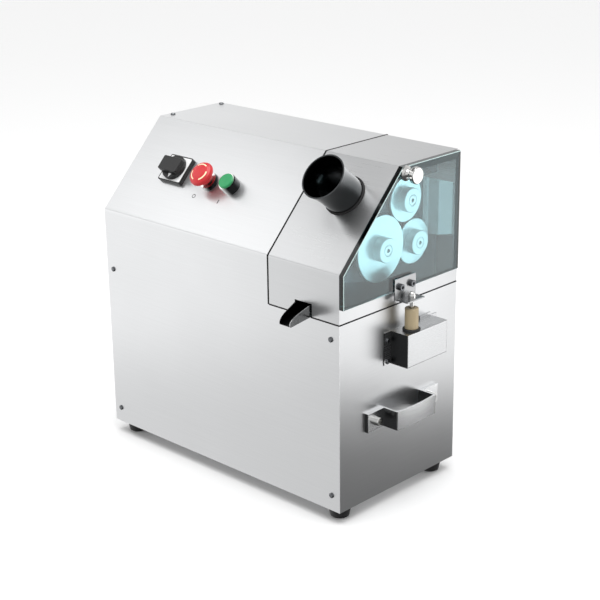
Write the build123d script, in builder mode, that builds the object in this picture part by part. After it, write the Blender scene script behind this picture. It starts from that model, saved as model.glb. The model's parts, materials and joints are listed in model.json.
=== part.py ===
from build123d import *
import os
from math import acos, atan2, cos, hypot, pi, radians, sin, tan

# A table-top cane juicer with three rollers: a sheet-metal housing with the gear motor on the left, and on
# the right a roller chamber under a hood that swings up and back on a rear hinge.
# +X points out of the end with the window, -Y out of the front with the juice spout, +Z up.
# The origin is the middle of the whole machine's footprint, on the table.

# ---- Driving dimensions, millimetres ----
LENGTH = 500.0  # housing, along X
DEPTH = 260.0  # housing, along Y
BODY_HEIGHT = 490.0  # housing without its feet
BREAK_HEIGHT = 361.0  # where the front turns into the slope, above the housing's underside
SETBACK = 124.0  # how far back the slope ends
SHEET = 1.5  # every cover
FOOT_HEIGHT = 20.0
FOOT_R = 17.0
FOOT_INSET_X = 24.0
FOOT_INSET_Y = 26.0

CHAMBER = 135.5  # hood, along X
HOOD_LINE = 289.0  # the hood's lower edge, above the housing's underside
SEAM = 1.6  # the dark line all round the hood
PLATE = 8.0  # the three machined plates
WINDOW_T = 8.0
WINDOW_SILL = 22.0  # strip under the window
FRAME_W = 12.0  # rim behind the window

SHAFT_R = 12.0
RUNNING = 0.05  # radial clearance of everything that turns or slides
BUSH_WALL = 4.0
MODULE = 3.0
FRONT_TEETH = 34
TOP_TEETH = 23
PINION_TEETH = 17
GEAR_W = 16.0
BACKLASH = 0.4
FRONT_ROLLER_R = 44.5
TOP_ROLLER_R = 33.5
REAR_ROLLER_R = 34.0
TOP_SHAFT_Y = 169.5  # from the front
TOP_SHAFT_H = 429.0  # above the housing's underside
FRONT_SHAFT_ANGLE = 223.6  # from the top shaft to the front one, from +Y towards +Z
REAR_SHAFT_ANGLE = -75.7
PINION_ANGLE = -75.0  # from the front shaft to the pinion
BEARING_GAP = 34.0  # from the end plane back to the outer plate's face
ROLLER_GAP = 4.0  # a roller's end to the plate beside it

KNOB_REACH = 30.0
GLAND_REACH = 22.0  # the furthest piece behind
SPOUT_REACH = 42.0  # the furthest piece in front
SPOUT_W = 28.0
SPOUT_TAPER = 8.0  # how much narrower the tip is, all on the left
SPOUT_FALL = 4.5
SPOUT_FROM_END = 68.0
SPOUT_CHEEK = 17.5

FUNNEL_FROM_END = 62.0
FUNNEL_UP = 117.0  # along the slope from the bend
FUNNEL_TILT = 5.0  # from the slope's normal, towards the level
FUNNEL_BORE_R = 27.5
FUNNEL_WALL = 2.0
FUNNEL_RIM_R = 34.5
FUNNEL_STANDS = 58.0
FUNNEL_FLARE = 20.0  # where the flare starts
FUNNEL_INSIDE = 5.0
SEAL_W = 2.4
SEAL_H = 3.0

HANDLE_SPAN = 88.0  # the grip's width
HANDLE_REACH = 34.0  # the furthest piece out of the window end
HANDLE_STRAP = 3.0
HANDLE_W = 29.0
HANDLE_FOOT = 35.0
HANDLE_Y = 133.0
HANDLE_H = 124.5

BOX_Y = (108.0, 198.0)
BOX_H = (201.0, 251.0)
BOX_REACH = 33.0
PIN_X = 20.5  # interlock pin, out from the end plane
PIN_Y = 131.0
PIN_R = 3.0
PIN_PLAY = 1.2
BUSH_R = 10.0
BUSH_TOP = 285.0
PIN_TIP = 277.0
PLUNGER_STROKE = 3.0

SELECTOR = (-394.0, 92.5)  # along X from the end plane, and up the slope
STOP = (-318.0, 87.0)
START = (-271.0, 88.5)
CONTROL_BORE_R = 11.0
CONTROL_TRAVEL = 4.0

# ---- Derived places ----
END_X = (LENGTH - HANDLE_REACH) / 2
FRONT_Y = -(DEPTH + GLAND_REACH - SPOUT_REACH) / 2
BACK_Y = FRONT_Y + DEPTH
BASE_Z = FOOT_HEIGHT
TOP_Z = BASE_Z + BODY_HEIGHT
BREAK_Z = BASE_Z + BREAK_HEIGHT
HOOD_Z = BASE_Z + HOOD_LINE
RIM_Z = HOOD_Z - SEAM  # upper edge of the covers under the hood
DECK_Z = RIM_Z - SHEET
LEFT_X = END_X - LENGTH
HOOD_X = END_X - CHAMBER
COVER_X = HOOD_X - SEAM  # where the covers left of the hood end
SLOPE = atan2(TOP_Z - BREAK_Z, SETBACK)
SLOPE_LENGTH = hypot(TOP_Z - BREAK_Z, SETBACK)
slope_plane = Plane(
    origin=(END_X, FRONT_Y, BREAK_Z), x_dir=(1, 0, 0), z_dir=(0, -sin(SLOPE), cos(SLOPE))
)

BULKHEAD_X = (COVER_X - PLATE, COVER_X)
OUTER_X = (END_X - BEARING_GAP - PLATE, END_X - BEARING_GAP)
GEAR_GAP = 5.0
FRONT_GEAR_X = (BULKHEAD_X[0] - GEAR_GAP - GEAR_W, BULKHEAD_X[0] - GEAR_GAP)
REAR_GEAR_X = (FRONT_GEAR_X[0] - 2 - GEAR_W, FRONT_GEAR_X[0] - 2)
GEAR_PLATE_X = (REAR_GEAR_X[0] - 6 - PLATE, REAR_GEAR_X[0] - 6)
ROLLER_X = (BULKHEAD_X[1] + ROLLER_GAP, OUTER_X[0] - ROLLER_GAP)


def step_from(point, angle, distance):
    """The point at a distance and an angle, in degrees, from another, in the plane across the shafts."""
    return (point[0] + distance * cos(radians(angle)), point[1] + distance * sin(radians(angle)))


TOP_AXIS = (FRONT_Y + TOP_SHAFT_Y, BASE_Z + TOP_SHAFT_H)
FRONT_AXIS = step_from(TOP_AXIS, FRONT_SHAFT_ANGLE, MODULE * (TOP_TEETH + FRONT_TEETH) / 2)
REAR_AXIS = step_from(TOP_AXIS, REAR_SHAFT_ANGLE, MODULE * TOP_TEETH)
PINION_AXIS = step_from(FRONT_AXIS, PINION_ANGLE, MODULE * (FRONT_TEETH + PINION_TEETH) / 2)
HINGE_Y = BACK_Y + 7.0
HINGE_Z = HOOD_Z - 5.0


# ---- Shapes used again and again ----
def block(x, y, z, mode=Mode.ADD):
    """A box between two X, two Y and two Z values."""
    with BuildSketch(Plane.XY.offset(z[0])) as face:
        with Locations(((x[0] + x[1]) / 2, (y[0] + y[1]) / 2)):
            Rectangle(x[1] - x[0], y[1] - y[0])
    extrude(face.sketch, amount=z[1] - z[0], mode=mode)


def prism(plane, points, height, mode=Mode.ADD):
    """A closed outline, drawn on a plane and pulled out of it."""
    with BuildSketch(plane) as face:
        with BuildLine():
            Polyline(*points, close=True)
        make_face()
    extrude(face.sketch, amount=height, mode=mode)


def round_bar(plane, at, radius, height, mode=Mode.ADD):
    """Cylinders of one radius at the given points of a plane."""
    with BuildSketch(plane) as face:
        with Locations(*at):
            Circle(radius)
    extrude(face.sketch, amount=height, mode=mode)


def across(x):
    """The plane across the machine at x, seen with Y to the right and Z up."""
    return Plane.YZ.offset(x)


def turned(plane, outline):
    """A solid of revolution about a plane's normal. The outline holds (radius, height) points."""
    axis = Axis(plane.origin, plane.z_dir)
    side = Plane(origin=plane.origin, x_dir=plane.x_dir, z_dir=-plane.y_dir)
    with BuildSketch(side) as face:
        with BuildLine():
            Polyline(*outline, close=True)
        make_face()
    revolve(face.sketch, axis=axis)


def side_outline(inset, low):
    """The housing's outline from the side, moved in by inset on the front, slope, top and back."""
    lift = (1 - sin(SLOPE)) * tan(SLOPE) - cos(SLOPE)
    bend_z = BREAK_Z + inset * lift
    top_z = TOP_Z - inset
    top_y = FRONT_Y + inset + (top_z - bend_z) / tan(SLOPE)
    return [
        (FRONT_Y + inset, low),
        (FRONT_Y + inset, bend_z),
        (top_y, top_z),
        (BACK_Y - inset, top_z),
        (BACK_Y - inset, low),
    ]


def front_sheet_outline(low):
    """The bent front and slope sheet from the side."""
    outer = side_outline(0, low)[:3]
    inner = side_outline(SHEET, low)[:3]
    return outer + inner[::-1]


def top_sheet_outline(low):
    """The bent top and back sheet from the side. Its front edge butts on the slope sheet."""
    outer = side_outline(0, low)
    inner = side_outline(SHEET, low)
    gap = 0.3
    return [
        (outer[2][0] + gap, TOP_Z),
        outer[3],
        outer[4],
        inner[4],
        inner[3],
        (inner[2][0] + gap, TOP_Z - SHEET),
    ]


def round_bend(part, at, radius):
    """Rounds the outer edge of a bend that runs along the machine at a (Y, Z) point."""
    bend = part.edges().filter_by(Axis.X)
    fillet(bend.filter_by(lambda edge: hypot(edge.center().Y - at[0], edge.center().Z - at[1]) < SHEET / 2), radius)


def screw_holes(plane, at, radius, depth):
    """Round holes through whatever lies under a plane."""
    round_bar(plane, at, radius, -depth, mode=Mode.SUBTRACT)


def gear_outline(teeth, phase):
    """A spur gear's outline. One tooth is centred on the angle phase, in degrees."""
    pitch_r = MODULE * teeth / 2
    base_r = pitch_r * cos(radians(20))
    root_r = pitch_r - 1.25 * MODULE
    tip_r = pitch_r + 0.95 * MODULE

    def half_angle(radius):
        slant = acos(min(1, base_r / radius))
        half = pi / (2 * teeth) - BACKLASH / (2 * pitch_r)
        return half + tan(radians(20)) - radians(20) - tan(slant) + slant

    flank = [(root_r, half_angle(max(base_r, root_r)))]
    flank += [(r, half_angle(r)) for r in (max(base_r, root_r + 0.2), pitch_r, tip_r)]
    points = []
    for tooth in range(teeth):
        centre = radians(phase) + 2 * pi * tooth / teeth
        sides = [(r, centre - a) for r, a in flank] + [(r, centre + a) for r, a in flank[::-1]]
        points += [(r * cos(a), r * sin(a)) for r, a in sides]
    return points


def mating_phase(phase, teeth, angle, other_teeth):
    """The phase of a gear that meshes with another one of the given phase, along the angle to it."""
    return angle + 180 + (angle - phase) * teeth / other_teeth + 180 / other_teeth


def make_gear(axis_point, x, teeth, phase):
    """A spur gear with a hub bore that fits a roller shaft."""
    points = [(axis_point[0] + u, axis_point[1] + v) for u, v in gear_outline(teeth, phase)]
    prism(across(x[0]), points, x[1] - x[0])
    round_bar(across(x[0]), [axis_point], SHAFT_R + RUNNING, x[1] - x[0], mode=Mode.SUBTRACT)


def finish_part(part, name):
    """Labels one piece and writes its file."""
    part.label = name
    export_step(part, f"parts/{name}.step")


os.makedirs("parts", exist_ok=True)

# ---- Places shared by the housing ----
FOOT_POINTS = [
    (x, y)
    for x in (LEFT_X + FOOT_INSET_X, END_X - FOOT_INSET_X)
    for y in (FRONT_Y + FOOT_INSET_Y, BACK_Y - FOOT_INSET_Y)
]
STUD_R = 4.0
SCREW_R = 2.0
SCREW_HEAD_R = 4.0
SCREW_HEAD = 2.2
SCREW_LENGTH = 8.0
SCREW_PLAY = 0.2
FLANGE = 20.0
FRONT_SCREWS = [
    (x, z)
    for x in (LEFT_X + 14, END_X - 16)
    for z in (BASE_Z + 24, BASE_Z + 264)
]
TOP_SCREWS = [(LEFT_X + 9.5, FRONT_Y + 143), (LEFT_X + 9.5, FRONT_Y + 250)]
BACK_SCREWS = [
    (x, z)
    for x in (LEFT_X + 14, END_X - 16)
    for z in (BASE_Z + 24, BASE_Z + 250)
]
front_plane = Plane.XZ.offset(-FRONT_Y)
back_plane = Plane(origin=(0, BACK_Y, 0), x_dir=(1, 0, 0), z_dir=(0, 1, 0))
BACK_SCREWS_LOCAL = [(x, -z) for x, z in BACK_SCREWS]
end_plane = across(END_X)
BOX_FLANGE = 14.0
BOX_SHEET = 1.5
BOX_CORNER_R = 1.2
BOX_SCREWS = [
    (FRONT_Y + y, BASE_Z + h)
    for y in (BOX_Y[0] - 7, BOX_Y[1] + 7)
    for h in (BOX_H[0] + 5, BOX_H[1] - 13)
]

# ---- base_pan: folded tray that carries the plates and the feet ----
PAN_T = 2.0
PAN_X = (LEFT_X + SHEET, END_X - SHEET)
PAN_Y = (FRONT_Y + 2 * SHEET, BACK_Y - 2 * SHEET)
with BuildPart() as base_pan:
    block(PAN_X, PAN_Y, (BASE_Z, BASE_Z + FLANGE))
    inner_x = (PAN_X[0] + PAN_T, PAN_X[1] - PAN_T)
    inner_y = (PAN_Y[0] + PAN_T, PAN_Y[1] - PAN_T)
    block(inner_x, inner_y, (BASE_Z + PAN_T, BASE_Z + FLANGE), mode=Mode.SUBTRACT)
    screw_holes(Plane.XY.offset(BASE_Z + PAN_T), FOOT_POINTS, STUD_R + SCREW_PLAY, PAN_T)
finish_part(base_pan.part, "base_pan")

# ---- feet: tapered rubber with a moulded-in stud ----
with BuildPart() as feet:
    for foot_x, foot_y in FOOT_POINTS:
        turned(
            Plane(origin=(foot_x, foot_y, 0), z_dir=(0, 0, 1)),
            [
                (0, 0),
                (FOOT_R - 5.5, 0),
                (FOOT_R - 3, 1.5),
                (FOOT_R, FOOT_HEIGHT - 5),
                (FOOT_R, FOOT_HEIGHT - 1),
                (FOOT_R - 1, FOOT_HEIGHT),
                (STUD_R, FOOT_HEIGHT),
                (STUD_R, FOOT_HEIGHT + 10),
                (0, FOOT_HEIGHT + 10),
            ],
        )
finish_part(feet.part, "feet")

# ---- front_cover: front and slope in one bent sheet ----
SELECTOR_HOLE_R = 14.0
FRONT_BEND = (FRONT_Y, BREAK_Z)
FRONT_BEND_R = 6.0
BACK_BEND = (BACK_Y, TOP_Z)
BACK_BEND_R = 3.0
with BuildPart() as front_cover:
    prism(across(LEFT_X), front_sheet_outline(BASE_Z), COVER_X - LEFT_X)
    round_bend(front_cover, FRONT_BEND, FRONT_BEND_R)
    block((COVER_X, END_X), (FRONT_Y, FRONT_Y + SHEET), (BASE_Z, RIM_Z))
    screw_holes(front_plane, FRONT_SCREWS, SCREW_R + SCREW_PLAY, SHEET)
    screw_holes(slope_plane, [STOP, START], CONTROL_BORE_R + SCREW_PLAY, 2 * SHEET)
    screw_holes(slope_plane, [SELECTOR], SELECTOR_HOLE_R, 2 * SHEET)
finish_part(front_cover.part, "front_cover")

# ---- top_cover: top and back in one bent sheet, with louvres and the cable entry ----
GLAND_R = 8.0
GLAND_POINT = (LEFT_X + 60, BASE_Z + 60)
LOUVRE_L = 90.0
LOUVRE_W = 5.0
with BuildPart() as top_cover:
    prism(across(LEFT_X), top_sheet_outline(BASE_Z), COVER_X - LEFT_X)
    round_bend(top_cover, BACK_BEND, BACK_BEND_R)
    block((COVER_X, END_X), (BACK_Y - SHEET, BACK_Y), (BASE_Z, RIM_Z))
    screw_holes(Plane.XY.offset(TOP_Z), TOP_SCREWS, SCREW_R + SCREW_PLAY, SHEET)
    screw_holes(back_plane, BACK_SCREWS_LOCAL, SCREW_R + SCREW_PLAY, SHEET)
    screw_holes(back_plane, [(GLAND_POINT[0], -GLAND_POINT[1])], GLAND_R + SCREW_PLAY, SHEET)
    with BuildSketch(back_plane) as louvres:
        with Locations((LEFT_X + 90, -(BASE_Z + 320))):
            with GridLocations(LOUVRE_L + 20, 3 * LOUVRE_W, 2, 8):
                SlotOverall(LOUVRE_L, LOUVRE_W)
    extrude(louvres.sketch, amount=-SHEET, mode=Mode.SUBTRACT)
finish_part(top_cover.part, "top_cover")

# ---- left_end_panel: flanged all round, with a field of slots for the motor's air ----
with BuildPart() as left_end_panel:
    prism(across(LEFT_X), side_outline(SHEET, BASE_Z), FLANGE)
    low = BASE_Z - 1
    prism(across(LEFT_X + SHEET), side_outline(2 * SHEET, low), FLANGE, mode=Mode.SUBTRACT)
    screw_holes(front_plane, FRONT_SCREWS, SCREW_R + SCREW_PLAY, 3 * SHEET)
    screw_holes(Plane.XY.offset(TOP_Z), TOP_SCREWS, SCREW_R + SCREW_PLAY, 3 * SHEET)
    screw_holes(back_plane, BACK_SCREWS_LOCAL, SCREW_R + SCREW_PLAY, 3 * SHEET)
    with BuildSketch(across(LEFT_X)) as slots:
        with Locations(PINION_AXIS):
            with GridLocations(0, 3 * LOUVRE_W, 1, 9):
                SlotOverall(LOUVRE_L, LOUVRE_W)
    extrude(slots.sketch, amount=SHEET, mode=Mode.SUBTRACT)
finish_part(left_end_panel.part, "left_end_panel")

# ---- right_end_panel: flanged end sheet under the hood ----
HANDLE_SCREW_R = 4.0
HANDLE_SCREWS = [
    (FRONT_Y + HANDLE_Y + side * (HANDLE_SPAN + HANDLE_FOOT) / 2, BASE_Z + HANDLE_H)
    for side in (-1, 1)
]
SWITCH_HOLE = 30.0
with BuildPart() as right_end_panel:
    rim_y = (FRONT_Y + SHEET, BACK_Y - SHEET)
    block((END_X - FLANGE, END_X), rim_y, (BASE_Z, RIM_Z))
    open_x = (END_X - FLANGE, END_X - SHEET)
    open_y = (rim_y[0] + SHEET, rim_y[1] - SHEET)
    block(open_x, open_y, (BASE_Z, RIM_Z - SHEET), mode=Mode.SUBTRACT)
    screw_holes(front_plane, FRONT_SCREWS, SCREW_R + SCREW_PLAY, 3 * SHEET)
    screw_holes(back_plane, BACK_SCREWS_LOCAL, SCREW_R + SCREW_PLAY, 3 * SHEET)
    screw_holes(end_plane, BOX_SCREWS, SCREW_R + SCREW_PLAY, SHEET)
    screw_holes(end_plane, HANDLE_SCREWS, HANDLE_SCREW_R + SCREW_PLAY, SHEET)
finish_part(right_end_panel.part, "right_end_panel")

# ---- panel_screws: pan heads on the covers and on the switch box's flanges ----
PAN_HEAD = [
    (0, -SCREW_LENGTH),
    (SCREW_R, -SCREW_LENGTH),
    (SCREW_R, 0),
    (SCREW_HEAD_R, 0),
    (SCREW_HEAD_R, SCREW_HEAD * 0.55),
    (SCREW_HEAD_R * 0.7, SCREW_HEAD),
    (0, SCREW_HEAD),
]
with BuildPart() as panel_screws:
    for x, z in FRONT_SCREWS:
        turned(Plane(origin=(x, FRONT_Y, z), x_dir=(1, 0, 0), z_dir=(0, -1, 0)), PAN_HEAD)
    for x, z in BACK_SCREWS:
        turned(Plane(origin=(x, BACK_Y, z), x_dir=(1, 0, 0), z_dir=(0, 1, 0)), PAN_HEAD)
    for x, y in TOP_SCREWS:
        turned(Plane(origin=(x, y, TOP_Z), x_dir=(1, 0, 0), z_dir=(0, 0, 1)), PAN_HEAD)
    for y, z in BOX_SCREWS:
        turned(Plane(origin=(END_X + BOX_SHEET, y, z), x_dir=(0, 1, 0), z_dir=(1, 0, 0)), PAN_HEAD)
finish_part(panel_screws.part, "panel_screws")

# ---- The three machined plates, which stand on the base pan and on the deck ----
PLATE_INSET = 2 * SHEET + PAN_T + 0.3
OUTER_INSET = FRAME_W + 1.0
BUSH_R_OUT = SHAFT_R + BUSH_WALL
SHAFT_AXES = [FRONT_AXIS, TOP_AXIS, REAR_AXIS]
PILOT_R = 20.0
with BuildPart() as roller_bulkhead:
    prism(across(BULKHEAD_X[0]), side_outline(PLATE_INSET, BASE_Z + PAN_T), PLATE)
    screw_holes(across(BULKHEAD_X[1]), SHAFT_AXES, BUSH_R_OUT + RUNNING, PLATE)
finish_part(roller_bulkhead.part, "roller_bulkhead")

with BuildPart() as gear_plate:
    prism(across(GEAR_PLATE_X[0]), side_outline(PLATE_INSET, BASE_Z + PAN_T), PLATE)
    screw_holes(across(GEAR_PLATE_X[1]), SHAFT_AXES, BUSH_R_OUT + RUNNING, PLATE)
    screw_holes(across(GEAR_PLATE_X[1]), [PINION_AXIS], PILOT_R + RUNNING, PLATE)
finish_part(gear_plate.part, "gear_plate")

CHUTE_H = (362.0, 452.0)
CHUTE_GAP = 1.0
CHUTE_START = 214.5
with BuildPart() as bearing_plate:
    prism(across(OUTER_X[0]), side_outline(OUTER_INSET, DECK_Z), PLATE)
    screw_holes(across(OUTER_X[1]), SHAFT_AXES, BUSH_R_OUT + RUNNING, PLATE)
    notch_z = (BASE_Z + CHUTE_H[0] - CHUTE_GAP, BASE_Z + CHUTE_H[1] + CHUTE_GAP)
    notch_y = (FRONT_Y + CHUTE_START - CHUTE_GAP, BACK_Y)
    block(OUTER_X, notch_y, notch_z, mode=Mode.SUBTRACT)
    fillet(bearing_plate.edges().filter_by(Axis.X).group_by(Axis.Z)[-1], radius=6)
finish_part(bearing_plate.part, "bearing_plate")

# ---- plate_spacers: turned bars between the plates, clear of gears and rollers ----
SPACER_R = 8.0
GEAR_SPACERS = [(30, 60), (230, 60), (30, 300), (236, 450)]
CHAMBER_SPACERS = [(27, 319), (236, 306), (222, 468)]
with BuildPart() as plate_spacers:
    gear_points = [(FRONT_Y + y, BASE_Z + h) for y, h in GEAR_SPACERS]
    round_bar(across(GEAR_PLATE_X[1]), gear_points, SPACER_R, BULKHEAD_X[0] - GEAR_PLATE_X[1])
    chamber_points = [(FRONT_Y + y, BASE_Z + h) for y, h in CHAMBER_SPACERS]
    round_bar(across(BULKHEAD_X[1]), chamber_points, SPACER_R, OUTER_X[0] - BULKHEAD_X[1])
finish_part(plate_spacers.part, "plate_spacers")

# ---- shaft_bushes: one bronze bush for each shaft in each plate ----
with BuildPart() as shaft_bushes:
    for plate_x in (GEAR_PLATE_X, BULKHEAD_X, OUTER_X):
        round_bar(across(plate_x[0]), SHAFT_AXES, BUSH_R_OUT, PLATE)
        round_bar(across(plate_x[0]), SHAFT_AXES, SHAFT_R + RUNNING, PLATE, mode=Mode.SUBTRACT)
finish_part(shaft_bushes.part, "shaft_bushes")

# ---- deck_plate and juice_tray: the chamber's floor, and the pan that collects the juice ----
DECK_T = 2.0
with BuildPart() as deck_plate:
    deck_y = (FRONT_Y + 2 * SHEET, BACK_Y - 2 * SHEET)
    block((COVER_X, END_X - SHEET), deck_y, (DECK_Z - DECK_T, DECK_Z))
finish_part(deck_plate.part, "deck_plate")

TRAY_X = (BULKHEAD_X[1] + 1.5, OUTER_X[0] - 1.5)
TRAY_Y = (FRONT_Y + 16, BACK_Y - 14)
TRAY_WALL = 9.0
SPOUT_X = END_X - SPOUT_FROM_END
SPOUT_SHEET = 1.5
SPOUT_PLAY = 0.5
SPOUT_Z = DECK_Z + SHEET + 0.2
with BuildPart() as juice_tray:
    block(TRAY_X, TRAY_Y, (DECK_Z, DECK_Z + TRAY_WALL))
    inner_x = (TRAY_X[0] + SHEET, TRAY_X[1] - SHEET)
    inner_y = (TRAY_Y[0] + SHEET, TRAY_Y[1] - SHEET)
    block(inner_x, inner_y, (DECK_Z + SHEET, DECK_Z + TRAY_WALL), mode=Mode.SUBTRACT)
    lip_x = (SPOUT_X - SPOUT_W / 2 - SPOUT_PLAY, SPOUT_X + SPOUT_W / 2 + SPOUT_PLAY)
    lip_y = (TRAY_Y[0], TRAY_Y[0] + SHEET)
    block(lip_x, lip_y, (DECK_Z + SHEET, DECK_Z + TRAY_WALL), mode=Mode.SUBTRACT)
finish_part(juice_tray.part, "juice_tray")

# ---- juice_spout: open channel from the tray out through the hood's notch, narrower at its tip ----
SPOUT_IN = 30.0
TIP_Y = FRONT_Y - SPOUT_REACH
LEFT_CHEEK = SPOUT_X - SPOUT_W / 2
RIGHT_CHEEK = SPOUT_X + SPOUT_W / 2


def spout_plan(wall, beyond):
    """The spout from above, moved in by a wall at its cheeks and lengthened at both ends."""
    return [
        (LEFT_CHEEK + wall, FRONT_Y + SPOUT_IN + beyond),
        (LEFT_CHEEK + wall, FRONT_Y),
        (LEFT_CHEEK + SPOUT_TAPER + wall, TIP_Y - beyond),
        (RIGHT_CHEEK - wall, TIP_Y - beyond),
        (RIGHT_CHEEK - wall, FRONT_Y + SPOUT_IN + beyond),
    ]


with BuildPart() as spout_channel:
    prism(Plane.XY.offset(SPOUT_Z - SPOUT_FALL), spout_plan(SPOUT_SHEET, 1), 2 * SPOUT_CHEEK)
    over_floor = [
        (FRONT_Y + SPOUT_IN + 1, SPOUT_Z + SPOUT_SHEET),
        (FRONT_Y - 2, SPOUT_Z + SPOUT_SHEET),
        (TIP_Y - 1, SPOUT_Z + SPOUT_SHEET - SPOUT_FALL),
        (TIP_Y - 1, SPOUT_Z + 2 * SPOUT_CHEEK),
        (FRONT_Y + SPOUT_IN + 1, SPOUT_Z + 2 * SPOUT_CHEEK),
    ]
    prism(across(LEFT_CHEEK), over_floor, SPOUT_W, mode=Mode.INTERSECT)
with BuildPart() as juice_spout:
    prism(Plane.XY.offset(SPOUT_Z - SPOUT_FALL), spout_plan(0, 0), SPOUT_FALL + SPOUT_CHEEK)
    cheek = [
        (FRONT_Y + SPOUT_IN, SPOUT_Z),
        (FRONT_Y - 2, SPOUT_Z),
        (TIP_Y + 2.5, SPOUT_Z - SPOUT_FALL),
        (TIP_Y + 0.6, SPOUT_Z - SPOUT_FALL + 1),
        (TIP_Y, SPOUT_Z - 0.5),
        (TIP_Y + 1.5, SPOUT_Z + 3),
        (TIP_Y + 5, SPOUT_Z + 6),
        (TIP_Y + 12, SPOUT_Z + 9.5),
        (FRONT_Y - 3, SPOUT_Z + SPOUT_CHEEK),
        (FRONT_Y + SPOUT_IN, SPOUT_Z + SPOUT_CHEEK),
    ]
    prism(across(LEFT_CHEEK), cheek, SPOUT_W, mode=Mode.INTERSECT)
    add(spout_channel.part, mode=Mode.SUBTRACT)
finish_part(juice_spout.part, "juice_spout")

# ---- Rollers: each is one turned bar with a grooved barrel and a stepped end for its disc ----
SHAFT_START = GEAR_PLATE_X[0] - 2
DISC_START = OUTER_X[1] + 0.5
STUB_R = 10.0
GROOVES = 9
GROOVE_DEPTH = 1.0


def make_roller(axis_point, radius, stub_end):
    """A roller from the gear plate's bush to the end of its stub in the end disc."""
    start = ROLLER_X[0] - SHAFT_START
    length = ROLLER_X[1] - ROLLER_X[0]
    outline = [(0, 0), (SHAFT_R - 1, 0), (SHAFT_R, 1), (SHAFT_R, start), (radius - 1, start)]
    pitch = (length - 2) / GROOVES
    for groove in range(GROOVES):
        ridge = start + 1 + groove * pitch
        outline += [(radius, ridge), (radius, ridge + pitch / 2)]
        outline += [(radius - GROOVE_DEPTH, ridge + pitch * 0.75)]
    outline += [(radius, start + length - 1), (radius - 1, start + length)]
    shaft_end = DISC_START - SHAFT_START
    outline += [(SHAFT_R, start + length), (SHAFT_R, shaft_end), (STUB_R, shaft_end)]
    outline += [(STUB_R, stub_end - SHAFT_START), (0, stub_end - SHAFT_START)]
    turned(Plane(origin=(SHAFT_START, *axis_point), x_dir=(0, 1, 0), z_dir=(1, 0, 0)), outline)


REAR_DISC_R = 34.0
REAR_DISC_X = (DISC_START, END_X - 28.0)
FRONT_DISC_R = 49.0
FRONT_DISC_X = (END_X - 26.5, END_X - 21.5)
BOSS_R = 18.0
BOSS_END = {"front": END_X - 8.0, "top": END_X - 16.0, "rear": END_X - 15.0}
STUB_SHORT = 4.0  # the stub stops short of its boss's face
TUBE_R = 3.0
RING_R = 8.0


def make_end_disc(axis_point, hub_start, disc_x, radius, boss_end):
    """A disc with a boss, bored for the shaft's stub, with a small hole and a turned ring in its face."""
    start = hub_start
    heights = [x - start for x in (disc_x[0], disc_x[1], boss_end)]
    stub = STUB_R + RUNNING
    floor = heights[2] - STUB_SHORT + 0.5
    outline = [(stub, 0), (BOSS_R + 2, 0), (BOSS_R + 2, heights[0]), (radius - 0.6, heights[0])]
    outline += [(radius, heights[0] + 0.6), (radius, heights[1] - 0.8), (radius - 0.8, heights[1])]
    outline += [(BOSS_R, heights[1]), (BOSS_R, heights[2] - 0.8), (BOSS_R - 0.8, heights[2])]
    outline += [(RING_R + 0.8, heights[2]), (RING_R, heights[2] - 0.7), (RING_R - 0.8, heights[2])]
    outline += [(TUBE_R, heights[2]), (TUBE_R, floor), (stub, floor)]
    turned(Plane(origin=(start, *axis_point), x_dir=(0, 1, 0), z_dir=(1, 0, 0)), outline)


with BuildPart() as front_roller:
    make_roller(FRONT_AXIS, FRONT_ROLLER_R, BOSS_END["front"] - STUB_SHORT)
finish_part(front_roller.part, "front_roller")
with BuildPart() as top_roller:
    make_roller(TOP_AXIS, TOP_ROLLER_R, BOSS_END["top"] - STUB_SHORT)
finish_part(top_roller.part, "top_roller")
with BuildPart() as rear_roller:
    make_roller(REAR_AXIS, REAR_ROLLER_R, BOSS_END["rear"] - STUB_SHORT)
finish_part(rear_roller.part, "rear_roller")

with BuildPart() as front_disc:
    make_end_disc(FRONT_AXIS, DISC_START, FRONT_DISC_X, FRONT_DISC_R, BOSS_END["front"])
finish_part(front_disc.part, "front_disc")
TOP_DISC_X = (DISC_START + 1.0, REAR_DISC_X[1])
with BuildPart() as top_disc:
    make_end_disc(TOP_AXIS, DISC_START, TOP_DISC_X, REAR_DISC_R, BOSS_END["top"])
finish_part(top_disc.part, "top_disc")
with BuildPart() as rear_disc:
    make_end_disc(REAR_AXIS, DISC_START, TOP_DISC_X, REAR_DISC_R, BOSS_END["rear"])
finish_part(rear_disc.part, "rear_disc")

# ---- Gears: front and rear run in two planes, and the wide top gear meshes with both ----
TOP_PHASE = FRONT_SHAFT_ANGLE
FRONT_PHASE = mating_phase(TOP_PHASE, TOP_TEETH, FRONT_SHAFT_ANGLE, FRONT_TEETH)
REAR_PHASE = mating_phase(TOP_PHASE, TOP_TEETH, REAR_SHAFT_ANGLE, TOP_TEETH)
PINION_PHASE = mating_phase(FRONT_PHASE, FRONT_TEETH, PINION_ANGLE, PINION_TEETH)
with BuildPart() as front_gear:
    make_gear(FRONT_AXIS, FRONT_GEAR_X, FRONT_TEETH, FRONT_PHASE)
finish_part(front_gear.part, "front_gear")
with BuildPart() as top_gear:
    make_gear(TOP_AXIS, (REAR_GEAR_X[0], FRONT_GEAR_X[1]), TOP_TEETH, TOP_PHASE)
finish_part(top_gear.part, "top_gear")
with BuildPart() as rear_gear:
    make_gear(REAR_AXIS, REAR_GEAR_X, TOP_TEETH, REAR_PHASE)
finish_part(rear_gear.part, "rear_gear")

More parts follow.
